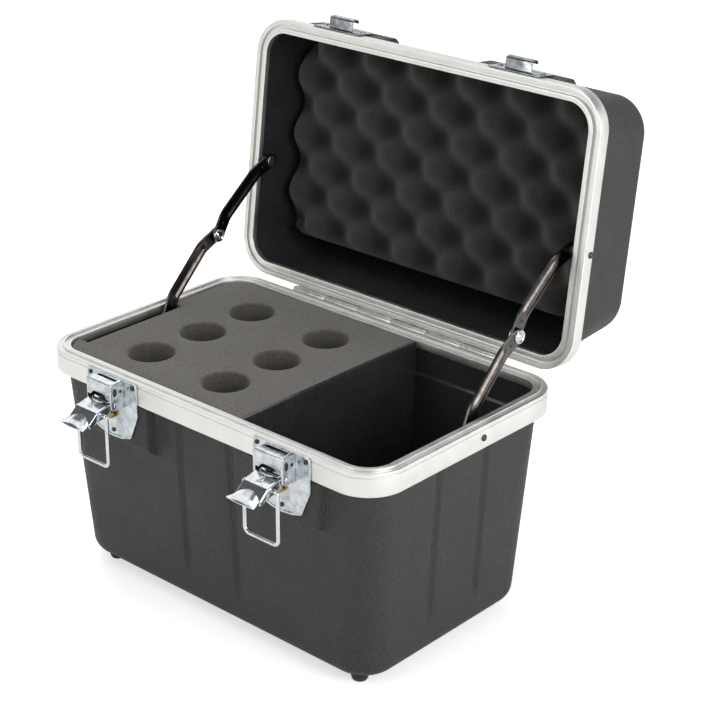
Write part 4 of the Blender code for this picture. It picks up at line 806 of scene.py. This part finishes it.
def rounded_place(tree, given, split, axis):
    """Pulls points outside the corner circle back onto it, for one axis."""
    core = [maths(tree, "SUBTRACT", given.outputs[name], given.outputs["Corner"])
            for name in ("Half Length", "Half Depth")]
    past = [maths(tree, "SUBTRACT", maths(tree, "ABSOLUTE", split.outputs[i]), core[i]) for i in (0, 1)]
    over = [maths(tree, "MAXIMUM", value, 0.0) for value in past]
    squares = [maths(tree, "MULTIPLY", value, value) for value in over]
    reach = maths(tree, "SQRT", maths(tree, "ADD", squares[0], squares[1]))
    longest = maths(tree, "MAXIMUM", over[0], over[1])
    scale = maths(tree, "DIVIDE", longest, maths(tree, "MAXIMUM", reach, MM / 100))
    inner = maths(tree, "MINIMUM", maths(tree, "ABSOLUTE", split.outputs[axis]), core[axis])
    total = maths(tree, "ADD", inner, maths(tree, "MULTIPLY", over[axis], scale))
    return maths(tree, "MULTIPLY", total, maths(tree, "SIGN", split.outputs[axis]))


new_x = rounded_place(crate_tree, given, split, 0)
new_y = rounded_place(crate_tree, given, split, 1)
new_z = maths(crate_tree, "ADD", split.outputs[2], lift)
moved_spot = add(crate_tree, "ShaderNodeCombineXYZ", {0: new_x, 1: new_y, 2: new_z})
# The valley share is stored for the foam material, which paints shade into the valleys with it.
hollow = maths(crate_tree, "MULTIPLY", maths(crate_tree, "SUBTRACT", 1.0, wave), 0.5)
marked = add(crate_tree, "GeometryNodeStoreNamedAttribute", {"Geometry": crate_box, "Name": "valley",
             "Value": hollow}, domain="POINT", data_type="FLOAT")
waved = add(crate_tree, "GeometryNodeSetPosition", {"Geometry": marked, "Position": moved_spot})
real = add(crate_tree, "GeometryNodeRealizeInstances", {"Geometry": waved})
coated = add(crate_tree, "GeometryNodeSetMaterial", {"Geometry": real, "Material": crate_foam})
add(crate_tree, "NodeGroupOutput", {"Geometry": coated})
FOAM_PEAK = 30 * MM
FOAM_BACK = 90.7 * MM
lid_foam = grown("lid_foam_crate", crate_tree, {"Half Length": 157.3 * MM, "Half Depth": 85.3 * MM,
                 "Thickness": FOAM_BACK - FOAM_PEAK, "Pitch": 51 * MM, "Swing": 6.5 * MM, "Corner": 20 * MM},
                 bpy.data.meshes.new("crate_seed"), crate_foam)
lid_foam.data.transform(at_lid @ Matrix.Translation((0, -7.6 * MM, (FOAM_BACK + FOAM_PEAK) / 2)))
keep(lid_foam, "lid", "foam", "lid_foam")

# %% [markdown]
# ## Rivets
# Every thin plate is held by domed rivets. A tree puts one dome on each point of a seed mesh and turns
# it to face the way it is told, so a list of places is all that a set of rivets needs.

# %% Rivets by Geometry Nodes
rivet_inputs = {"Radius": number, "Height": number, "Turn": "NodeSocketVector"}
rivet_tree, given = new_group("domed_rivets", rivet_inputs)
radius = given.outputs["Radius"]
ball = add(rivet_tree, "GeometryNodeMeshUVSphere", {"Segments": 24, "Rings": 12, "Radius": radius})
ratio = maths(rivet_tree, "DIVIDE", given.outputs["Height"], radius)
flat = add(rivet_tree, "ShaderNodeCombineXYZ", {0: 1.0, 1: 1.0, 2: ratio})
dome = add(rivet_tree, "GeometryNodeTransform", {"Geometry": ball, "Scale": flat})
points = add(rivet_tree, "GeometryNodeMeshToPoints", {"Mesh": given.outputs["Geometry"]})
spread = add(rivet_tree, "GeometryNodeInstanceOnPoints", {"Points": points, "Instance": dome,
             "Rotation": given.outputs["Turn"]}).outputs[0]
real = add(rivet_tree, "GeometryNodeRealizeInstances", {"Geometry": spread})
coated = add(rivet_tree, "GeometryNodeSetMaterial", {"Geometry": real, "Material": satin_zinc})
add(rivet_tree, "NodeGroupOutput", {"Geometry": coated})


def rivets(name, places, radius, height, turn, place, body, finish=satin_zinc):
    """Rivets at places, with their round side along a direction given by a turn."""
    seed = bpy.data.meshes.new(name + "_seed")
    seed.from_pydata(places, [], [])
    made = grown(name, rivet_tree, {"Radius": radius, "Height": height, "Turn": turn}, seed, finish)
    made.data.transform(place)
    for slot in range(len(made.data.materials)):
        made.data.materials[slot] = finish
    return keep(made, body, "plated_steel")


FACE_FRONT = (math.pi / 2, 0.0, 0.0)
FACE_SIDE = (0.0, math.pi / 2, 0.0)
print("rivet tree ready")

# %% [markdown]
# ## Back plates and housings of the latches
# Each back plate is stamped from thin steel. The press leaves a raised border round a field that sits a
# little lower, which draws a bright double line along its edge. The housing that holds the lever is
# folded from one sheet. It is drawn as a rounded block with its room, mouth, slot and holes cut out,
# and a bevel then breaks every cut edge, because a sharp edge would catch no light.

# %% Back plates and housings
LATCH_PLATE_BACK = -HALF_DEPTH - 0.3 * MM
LATCH_PLATE_FACE = LATCH_PLATE_BACK - 1.2 * MM
PLATE_EASE = 0.4 * MM
PLATE_BORDER = 1.7 * MM
PLATE_SINK = 0.5 * MM
HOUSING_HALF = 14.2 * MM
HOUSING_EASE = 0.9 * MM
CHEEK_HOLES = ((-122.2, -8.8, 2.1, 3.6), (-116.3, -9.2, 1.5, 1.5))


def millimetres(corners):
    """Corners given in millimetres, in metres."""
    return [tuple(value * MM for value in corner) for corner in corners]


def coined(outline, back, face, axis):
    """A stamped plate with an eased edge, a flat border and a field pressed below it."""
    way = math.copysign(1, face - back)
    rings = [(0, back)]
    for a, b in arc(PLATE_EASE, -PLATE_EASE, PLATE_EASE, math.pi, -math.pi / 2, 3):
        rings.append((a, face + way * b))
    rings += [(PLATE_BORDER, face), (PLATE_BORDER + PLATE_SINK, face - way * PLATE_SINK)]
    drawn = [[stand(axis, a, b, level) for a, b in shrunk(outline, inset)] for inset, level in rings]
    return net(drawn, ends=True)


plate_outline = rounded(millimetres([
    (-29, -0.8, 2.4), (-29, -29, 3), (-20, -50, 2.4), (-10, -53, 12), (0, -54, 30), (10, -53, 12),
    (20, -50, 2.4), (29, -29, 3), (29, -0.8, 2.4)]))
nose = [(y, z, 0) for y, z in arc(-121.5, -19.5, 5, math.pi, math.pi / 2, 8)]
housing_side = rounded(millimetres([(-112.6, -1.3, 0), (-126.5, -1.3, 1.6)] + nose + [(-112.6, -24.5, 0)]))
notch = rounded(millimetres([
    (-9.5, -17, 0), (-9.5, -14.6, 3), (-6, -11, 4), (6, -11, 4), (9.5, -14.6, 3), (9.5, -17, 0)]))
housing_cuts = {
    "room": [(-13, -125.3, -26), (13, -113.2, -2.5)],
    "mouth": [(-13, -128, -26), (13, -114.4, -14.8)],
    "slot": [(-10.8, -118.6, -4), (10.8, -115.4, 0)],
}
for side, name in ((-1, "left"), (1, "right")):
    place = at_rim @ Matrix.Translation((side * LATCH_X, 0, 0))
    sides = plate(housing_side, -HOUSING_HALF, HOUSING_HALF, HOUSING_EASE, "X")
    housing = draft("latch_housing_" + name, [sides], [satin_zinc], place)
    # The room, mouth, slot and cheek-hole cutters hand their dark metal to the faces they cut: painted shade
    # inside the housing.
    cutters = [block(cut, *millimetres(corners), place, nickel_dark_and_painted_cut_shade) for cut, corners in housing_cuts.items()]
    cutters.append(draft("notch", [plate(notch, -128 * MM, -124 * MM, 0, "Y")], [satin_zinc], place))
    for y, z, across, along in CHEEK_HOLES:
        oval = [((y + across * a) * MM, (z + along * b) * MM) for a, b in arc(0, 0, 1, 0, math.tau, 24)[:-1]]
        cutters.append(draft("cheek_hole", [plate(oval, -15 * MM, 15 * MM, 0, "X")], [nickel_dark_and_painted_cut_shade], place))
    keep(carve(housing, cutters, "DIFFERENCE", 0.2 * MM), "base", "plated_steel")
    pressing = coined(plate_outline, LATCH_PLATE_BACK, LATCH_PLATE_FACE, "Y")
    stamped = draft("latch_plate_stamped_" + name, [pressing], [satin_zinc], place)
    keep(stamped, "base", "plated_steel", "latch_plate_" + name)
    spots = [(x * MM, LATCH_PLATE_FACE, z * MM) for x, z in ((-24.6, -5), (24.6, -5), (0, -47.9))]
    rivets("latch_plate_rivets_" + name, spots, 1.9 * MM, 0.9 * MM, FACE_FRONT, place, "base", nickel_dark_and_painted_cut_shade)
    spots = [(end * HOUSING_HALF, -121.5 * MM, -19.5 * MM) for end in (-1, 1)]
    rivets("lever_pin_heads_" + name, spots, 2.2 * MM, 0.7 * MM, FACE_SIDE, place, "base", bright_chrome)

# %% [markdown]
# ## Levers
# A lever is one flat blank: an end is rolled round the pin, the sides are folded down and the far end is
# pressed into a scoop for the finger. Its middle surface is a net of paths with eased bends, and
# Solidify gives it the thickness of the sheet. The last fold is an arch, so the paths near the middle
# of the lever bend sooner than those at its edges.

# %% Levers with folded sides and a scoop
LEVER_HALF = 12.2 * MM
FOLD_HALF = 11 * MM
FOLD_RADIUS = 0.9 * MM
LEVER_SHEET = 1 * MM
BARREL = 2.7 * MM
BARREL_STEPS = 28
ACROSS_STEPS = 32
FIRST_PANEL = (3.2, 4.5, 4.9, 5.5, 6.6, 9.5, 12.5, 15.5)
FLANGE_START = 4.5 * MM
FLANGE_CORNER = 2 * MM


def eased(path, steps=5):
    """An open path of places and reaches, whose corners become short curves."""
    out = [path[0][0]]
    for (before, _), (here, reach), (after, _) in zip(path, path[1:], path[2:]):
        if reach == 0:
            out.append(here)
            continue
        first = here + (before - here).normalized() * reach
        last = here + (after - here).normalized() * reach
        for step in range(steps + 1):
            share = step / steps
            out.append(first.lerp(here, share).lerp(here.lerp(last, share), share))
    out.append(path[-1][0])
    return out


def lever_path(share):
    """One path along the lever, at a share of its half width from the middle."""
    middle = 1 - share * share
    roll = [Vector((LEVER_HALF * share, -a, b))
            for a, b in arc(0, 0, BARREL, math.radians(380), math.radians(-290), BARREL_STEPS)]
    fold = Vector((FOLD_HALF * share, -17.8 * MM, BARREL))
    arch = Vector((FOLD_HALF * share, (5.3 * middle - 27.2) * MM, (2.9 * middle - 2.2) * MM))
    dome = Vector((13 * MM * share, (1.6 * middle - 31.6) * MM, (1.6 * middle - 2.6) * MM))
    tip = Vector((14.2 * MM * share, (-1.4 * middle - 35.2) * MM, (0.4 * middle - 2) * MM))
    bends = [(roll[-1], 0)] + [(Vector((FOLD_HALF * share, -along * MM, BARREL)), 0) for along in FIRST_PANEL]
    bends += [(fold, 0.9 * MM), (fold.lerp(arch, 0.4), 0), (fold.lerp(arch, 0.7), 0)]
    bends += [(arch, 0.8 * MM), (dome, (0.8 + middle) * MM)]
    return roll[:-1] + eased(bends + [(tip, 0)])


def flange(paths, side):
    """The side of a lever, folded down from the edge of its paths."""
    edge = paths[-1 if side > 0 else 0]
    first = BARREL_STEPS + 1 + FIRST_PANEL.index(4.5)
    last = BARREL_STEPS + 1 + len(FIRST_PANEL) + 6 + 2 + 6
    run = edge[first:last]
    rows = []
    for a, b in arc(0, -FOLD_RADIUS, FOLD_RADIUS, math.pi / 2, -math.pi / 2, 5):
        rows.append([point + Vector((side * a, 0, b)) for point in run])
    for share in (0.35, 0.7, 1):
        row = []
        for point in run:
            along = -point.y
            corner = max(FLANGE_START + FLANGE_CORNER - along, 0)
            foot = -4.7 * MM - 0.6 * MM * soft((along - 18 * MM) / (9 * MM))
            foot += FLANGE_CORNER - math.sqrt(max(FLANGE_CORNER ** 2 - corner ** 2, 0))
            top = point.z - FOLD_RADIUS
            row.append(Vector((point.x + side * FOLD_RADIUS, point.y, top + (foot - top) * share)))
        rows.append(row)
    return net(rows, around=False)


bow = [(step / 8 - 1) for step in range(1, 16)]
crescent = millimetres([(-9.3, -2.6)] + [(9.3 * a, -2.6 - 4.6 * (1 - a * a)) for a in bow] + [(9.3, -2.6)])
for side, name in ((-1, "left"), (1, "right")):
    pin = Matrix.Translation(Vector(joints["lever_" + name]["pos_m"]))
    place = pin @ Matrix.Rotation(math.radians(14), 4, "X")
    paths = [lever_path(2 * step / ACROSS_STEPS - 1) for step in range(ACROSS_STEPS + 1)]
    sheet = [net(paths, around=False), flange(paths, -1), flange(paths, 1)]
    lever = draft("latch_lever_formed_" + name, sheet, [bright_chrome], place, weld=True)
    skin = lever.modifiers.new("sheet", "SOLIDIFY")
    skin.thickness = LEVER_SHEET
    skin.offset = 0
    skin.use_even_offset = True
    settle(lever)
    # The crescent's cut faces take the dark metal: painted shadow in the opening.
    cutters = [draft("crescent", [plate(crescent, 1.5 * MM, 5 * MM, 0, "Z")], [nickel_dark_and_painted_cut_shade], place),
               draft("plug_hole", [turned([(1.5 * MM, 3 * MM), (5 * MM, 3 * MM)], "Z", 40, 0, -11.8 * MM)],
                     [bright_chrome], place)]
    carve(lever, cutters, "DIFFERENCE", 0.18 * MM)
    keep(lever, "lever_" + name, "plated_steel", "latch_lever_" + name)

# %% [markdown]
# ## Bails
# The bail is a steel wire bent into a loop. It hangs from the lever's sides and drops over the catch. A
# circle carried along the bent path gives the round wire, with enough sides for smooth reflections.

# %% Bails
BAIL_WIRE = 1.7 * MM
bail_half = [(-9.6, 0)] + arc(-15, -2, 2, math.pi / 2, math.pi / 2, 8)
bail_half += arc(-12.5, -38.73, 4.5, math.pi, math.pi / 2, 14)
bail_path = millimetres([(a, 0, b) for a, b in bail_half] + [(-a, 0, b) for a, b in bail_half[::-1]])
for name in ("left", "right"):
    place = Matrix.Translation(Vector(joints["bail_" + name]["pos_m"]))
    loop = draft("latch_bail_bent_" + name, [wire(bail_path, BAIL_WIRE, 28)], [bright_chrome], place, 60)
    keep(loop, "bail_" + name, "plated_steel", "latch_bail_" + name)

# %% [markdown]
# ## Folding stays
# A stay's arm is a strap with round ends and a bead pressed along its middle, which stiffens it like a
# corrugation. The strap's middle surface is a net along its bent centre line. The bead only moves the
# points sideways, so both faces follow it when Solidify gives the strap its wall, as in a real pressing.

# %% Stay arms
STAY_HALF = 6.2 * MM
STAY_WALL = 2 * MM
STAY_LOWER_X = 162.7 * MM
STAY_UPPER_X = 159.9 * MM
STAY_JOG = (17 * MM, 6.5 * MM)
BEAD_HALF = 4.2 * MM
BEAD_PROUD = 1.3 * MM
BEAD_START = 14 * MM
BEAD_FADE = 6 * MM
ARM_HOLE = 0.9 * MM
HOLE_SHARE = 0.62
ARM_STEPS = 56
CAP_STEPS = 8
STRAP_COLUMNS = 28


def walked(line, distance):
    """The place and the direction at a distance along a line, which runs straight on past its ends."""
    for before, after in zip(line, line[1:]):
        length = (after - before).length
        if distance <= length or after is line[-1]:
            way = (after - before).normalized()
            return before + way * distance, way
        distance -= length


def pressed_arm(name, face, side, place):
    """An arm whose inner face is at a distance from the case's middle, on one side of the case."""
    corners = [(0, 0), STAY_JOG, (arm_length - STAY_JOG[0], STAY_JOG[1]), (arm_length, 0)]
    line = eased([(Vector(corner), 4 * MM) for corner in corners], 6)
    total = sum((after - before).length for before, after in zip(line, line[1:]))
    angles = [math.radians(8 + 82 * step / CAP_STEPS) for step in range(CAP_STEPS)]
    stations = [(-STAY_HALF * math.cos(angle), STAY_HALF * math.sin(angle)) for angle in angles]
    stations += [(total * step / ARM_STEPS, STAY_HALF) for step in range(ARM_STEPS + 1)]
    stations += [(total + STAY_HALF * math.cos(angle), STAY_HALF * math.sin(angle)) for angle in angles[::-1]]
    rings = []
    for distance, half in stations:
        spot, way = walked(line, distance)
        fade = soft((distance - BEAD_START) / BEAD_FADE) * soft((total - BEAD_START - distance) / BEAD_FADE)
        ring = []
        for column in range(STRAP_COLUMNS + 1):
            across = half * (2 * column / STRAP_COLUMNS - 1)
            rise = BEAD_PROUD * fade * math.cos(math.pi / 2 * min(abs(across) / BEAD_HALF, 1))
            out = side * (face + STAY_WALL / 2 + rise)
            ring.append((out, spot.x - way.y * across, spot.y + way.x * across))
        rings.append(ring)
    arm = draft(name, [net(rings, around=False)], [stay_plating_painted_dark], place)
    skin = arm.modifiers.new("wall", "SOLIDIFY")
    skin.thickness = STAY_WALL
    skin.offset = 0
    settle(arm)
    hole_y, hole_z = (jog * HOLE_SHARE for jog in STAY_JOG)
    bore = [(side * 150 * MM, ARM_HOLE), (side * 170 * MM, ARM_HOLE)]
    holes = [turned(bore, "X", 24, y, hole_z) for y in (hole_y, arm_length - hole_y)]
    return carve(arm, [draft("hole", [hole], [stay_plating_painted_dark], place) for hole in holes], "DIFFERENCE", 0.4 * MM)


foot_spot = Vector(joints["stay_foot_right"]["pos_m"]).yz
elbow_spot = Vector(joints["stay_elbow_right"]["pos_m"]).yz
end_spot = (at_lid @ Vector((0, 13 * MM, 8 * MM))).yz
arm_length = (elbow_spot - foot_spot).length
for side, name in ((-1, "left"), (1, "right")):
    for part, face, start, end in (("lower", STAY_LOWER_X, foot_spot, elbow_spot),
                                   ("upper", STAY_UPPER_X, elbow_spot, end_spot)):
        lean = math.atan2(end.y - start.y, end.x - start.x)
        place = Matrix.Translation((0, start.x, start.y)) @ Matrix.Rotation(lean, 4, "X")
        arm = pressed_arm(f"stay_{part}_pressed_{name}", face, side, place)
        keep(arm, f"{part}_arm_{name}", "plated_steel", f"stay_{part}_{name}")

# %% [markdown]
# ## Rivets of the stays
# The elbow turns on a hollow rivet whose edge is rolled over, so its head is a bright ring with a dark
# hollow inside. The rivets that hold a stay to the rims show outside only as a small dark button.

# %% Turned rivets of the stays
elbow_profile = [
    (158.5, 0), (158.55, 1.6), (158.85, 2.7), (159.4, 3.2), (159.4, 3.8), (158.6, 4.5), (158.5, 5.1),
    (158.8, 5.7), (159.6, 6), (159.85, 5.9), (159.9, 2.4), (164.8, 2.4), (164.85, 5.7), (165.1, 5.8),
    (165.9, 5.5), (166.3, 4.9), (166.2, 4.3), (165.4, 3.7), (165.4, 3.1), (166.0, 2.6), (166.35, 1.5),
    (166.4, 0)]
button = [
    (181.6, 0), (181.5, 1.2), (181, 2.3), (180.3, 2.7), (179.9, 2.7), (179.9, 1.6), (170, 1.6), (170, 4)]
foot_profile = button + [
    (165, 4), (165, 2.5), (162.4, 2.5), (162.4, 4), (161.8, 3.9), (161.2, 3.2), (161, 1.6), (161, 0)]
lid_profile = button + [(162.2, 4), (162.2, 0)]
for side, name in ((-1, "left"), (1, "right")):
    for part, profile, finish, body, y, z in (
            ("elbow", elbow_profile, bright_chrome, "lower_arm_" + name, *elbow_spot),
            ("foot", foot_profile, nickel_dark_and_painted_cut_shade, "base", *foot_spot),
            ("lid", lid_profile, nickel_dark_and_painted_cut_shade, "lid", *end_spot)):
        shape = turned([(side * level * MM, radius * MM) for level, radius in profile], "X", 64, y, z)
        rivet = draft(f"stay_{part}_rivet_turned_{name}", [shape], [finish], sharp=50)
        keep(rivet, body, "plated_steel", f"stay_{part}_rivet_{name}")

# %% [markdown]
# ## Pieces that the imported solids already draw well
# Small turned or stamped parts have the right shape but knife-sharp corners. A copy of each is merged,
# its flat facets are dissolved, and a narrow bevel rounds the corners.

# %% Dressed copies of small nodes
def dressed(node, ease, finish, body, slot, sharp=32):
    """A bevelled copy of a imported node, which stands in for it."""
    work = bmesh.new()
    work.from_mesh(frame["nodes"][node].data)
    bmesh.ops.remove_doubles(work, verts=work.verts, dist=MM / 500)
    bmesh.ops.dissolve_limit(work, angle_limit=math.radians(3), verts=work.verts, edges=work.edges)
    mesh = bpy.data.meshes.new(node + "_dressed")
    work.to_mesh(mesh)
    work.free()
    mesh.materials.append(finish)
    piece = bpy.data.objects.new(node + "_dressed", mesh)
    bpy.context.scene.collection.objects.link(piece)
    bevel = piece.modifiers.new("ease", "BEVEL")
    bevel.width = ease
    bevel.segments = 3
    bevel.limit_method = "ANGLE"
    bevel.angle_limit = math.radians(40)
    bevel.use_clamp_overlap = True
    settle(piece, sharp)
    return keep(piece, body, slot, node)


dressed("divider_panel", 0.6 * MM, glossy_abs, "base", "smooth_plastic")
for corner in ("front_left", "front_right", "rear_left", "rear_right"):
    dressed("foot_" + corner, 0.5 * MM, rubber_feet, "base", "rubber", 50)
    dressed("foot_screw_" + corner, 0.2 * MM, satin_zinc, "base", "plated_steel", 50)
for side in ("left", "right"):
    dressed("handle_bracket_" + side, 0.6 * MM, glossy_abs, "lid", "smooth_plastic")
    dressed("handle_pin_" + side, 0.3 * MM, satin_zinc, "lid", "plated_steel", 50)
dressed("handle_grip", 0.2 * MM, glossy_abs, "handle", "smooth_plastic", 60)
dressed("hinge_base_leaf", 0.15 * MM, hinge_steel, "base", "plated_steel", 50)
dressed("hinge_lid_leaf", 0.15 * MM, hinge_steel, "lid", "plated_steel", 50)
dressed("hinge_pin", 0.2 * MM, satin_zinc, "base", "plated_steel", 50)
for side in ("left", "right"):
    dressed("stay_end_rivet_" + side, 0.3 * MM, bright_chrome, "upper_arm_" + side, "plated_steel", 50)
    dressed("lever_pin_" + side, 0.3 * MM, bright_chrome, "base", "plated_steel", 50)
    dressed("latch_post_" + side, 0.4 * MM, brass, "base", "brass", 50)
    dressed("key_plug_" + side, 0.15 * MM, satin_zinc, "key_" + side, "plated_steel", 40)
    dressed("lid_catch_" + side, 0.3 * MM, chrome_painted_dark_reflection, "lid", "plated_steel", 40)

# %% [markdown]
# ## Camera
# The camera stands where the photographer stood. Its place, lens and small shift were solved from the
# case's own straight edges.

# %% Camera
camera = bpy.data.cameras.new("camera")
camera.sensor_width = 36
camera.lens = 97.84
camera.shift_x = 0.0023
camera.shift_y = -0.0029
camera.clip_start = 0.05
viewer = bpy.data.objects.new("camera", camera)
yaw, pitch, roll = math.radians(42.193), math.radians(-23.761), math.radians(0.154)
look = Matrix.Rotation(yaw, 4, "Z")
look = look @ Matrix.Rotation(math.pi / 2 + pitch, 4, "X") @ Matrix.Rotation(roll, 4, "Z")
viewer.matrix_world = Matrix.Translation((967.55 * MM, -1001.05 * MM, RIM_Z + 622.2 * MM)) @ look
bpy.context.scene.collection.objects.link(viewer)
bpy.context.scene.camera = viewer
print("camera at", [round(value, 3) for value in viewer.location])

# %% [markdown]
# ## Floor and light
# The case stands on white paper under soft lights. The floor is a plain disc that looks white to the
# camera and to reflections, but it is still lit by the lamps so that it keeps the case's shadow. The
# world is white to the camera. Reflections see it white near the horizon and grey overhead, which
# gives the metal its dark tones, and for all other light it is dim.

# %% Floor, world and lamps
white_paper, tree = new_material("white_paper_floor")
path = add(tree, "ShaderNodeLightPath")
seen = maths(tree, "MAXIMUM", path.outputs["Is Camera Ray"],
             maths(tree, "MAXIMUM", path.outputs["Is Glossy Ray"], path.outputs["Is Transmission Ray"]))
paper = add(tree, "ShaderNodeBsdfDiffuse", {"Color": "#f4f4f4"})
mirrored = maths(tree, "MULTIPLY", seen, 0.2)
strength = maths(tree, "ADD", mirrored, maths(tree, "MULTIPLY", path.outputs["Is Camera Ray"], 0.35))
glow = add(tree, "ShaderNodeEmission", {"Color": "#ffffff", "Strength": strength})
both = add(tree, "ShaderNodeAddShader", {0: paper, 1: glow})
add(tree, "ShaderNodeOutputMaterial", {"Surface": both})
disc = [(12 * math.cos(math.tau * step / 96), 12 * math.sin(math.tau * step / 96), 0.0) for step in range(96)]
floor_mesh = bpy.data.meshes.new("paper_floor")
floor_mesh.from_pydata(disc, [], [tuple(range(96))])
floor_mesh.materials.append(white_paper)
floor = bpy.data.objects.new("paper_floor", floor_mesh)
bpy.context.scene.collection.objects.link(floor)

world = bpy.data.worlds.new("studio")
world.use_nodes = True
world.node_tree.nodes.clear()
tree = world.node_tree
path = add(tree, "ShaderNodeLightPath")
seen = maths(tree, "MAXIMUM", path.outputs["Is Camera Ray"],
             maths(tree, "MAXIMUM", path.outputs["Is Glossy Ray"], path.outputs["Is Transmission Ray"]))
direction = add(tree, "ShaderNodeTexCoord").outputs["Generated"]
height = add(tree, "ShaderNodeSeparateXYZ", {"Vector": direction}).outputs["Z"]
ceiling = add(tree, "ShaderNodeMapRange", {"Value": height, "From Min": 0.3, "From Max": 0.55},
              interpolation_type="SMOOTHSTEP")
room_colour = add(tree, "ShaderNodeMix", {0: ceiling, MIX_A: "#ffffff", MIX_B: "#5f666c"},
                  data_type="RGBA").outputs[MIX_COLOUR]
mirrored_room = maths(tree, "MULTIPLY", seen, maths(tree, "SUBTRACT", 1.0, path.outputs["Is Camera Ray"]))
colour = add(tree, "ShaderNodeMix", {0: mirrored_room, MIX_A: "#ffffff", MIX_B: room_colour},
             data_type="RGBA").outputs[MIX_COLOUR]
strength = add(tree, "ShaderNodeMapRange", {"Value": seen, "To Min": 0.4, "To Max": 1.0})
sky = add(tree, "ShaderNodeBackground", {"Color": colour, "Strength": strength})
add(tree, "ShaderNodeOutputWorld", {"Surface": sky})
bpy.context.scene.world = world


def softbox(name, place, aim, width, power):
    """A square lamp that looks at a point."""
    lamp = bpy.data.lights.new(name, "AREA")
    lamp.size = width
    lamp.energy = power
    made = bpy.data.objects.new(name, lamp)
    made.location = place
    made.rotation_euler = (Vector(aim) - Vector(place)).to_track_quat("-Z", "Y").to_euler()
    bpy.context.scene.collection.objects.link(made)


softbox("key_softbox", (2.2, -0.35, 1.35), (0, 0, 0.2), 1.2, 22)
softbox("low_strip", (2.2, 0.55, 0.4), (0.16, 0.05, 0.23), 0.8, 10)
softbox("front_softbox", (-0.6, -2.2, 1.3), (0, 0, 0.15), 1.4, 12)
softbox("top_softbox", (-0.3, 0.4, 2.4), (0, 0, 0.2), 1.4, 12)
softbox("rear_softbox", (-1.3, 0.72, 1.63), (0, 0, 0.15), 1.6, 9)
print("five softboxes lit")

# %% [markdown]
# ## Finish
# The view transform is set to Standard.

# %% The last setting
bpy.context.scene.view_settings.view_transform = "Standard"
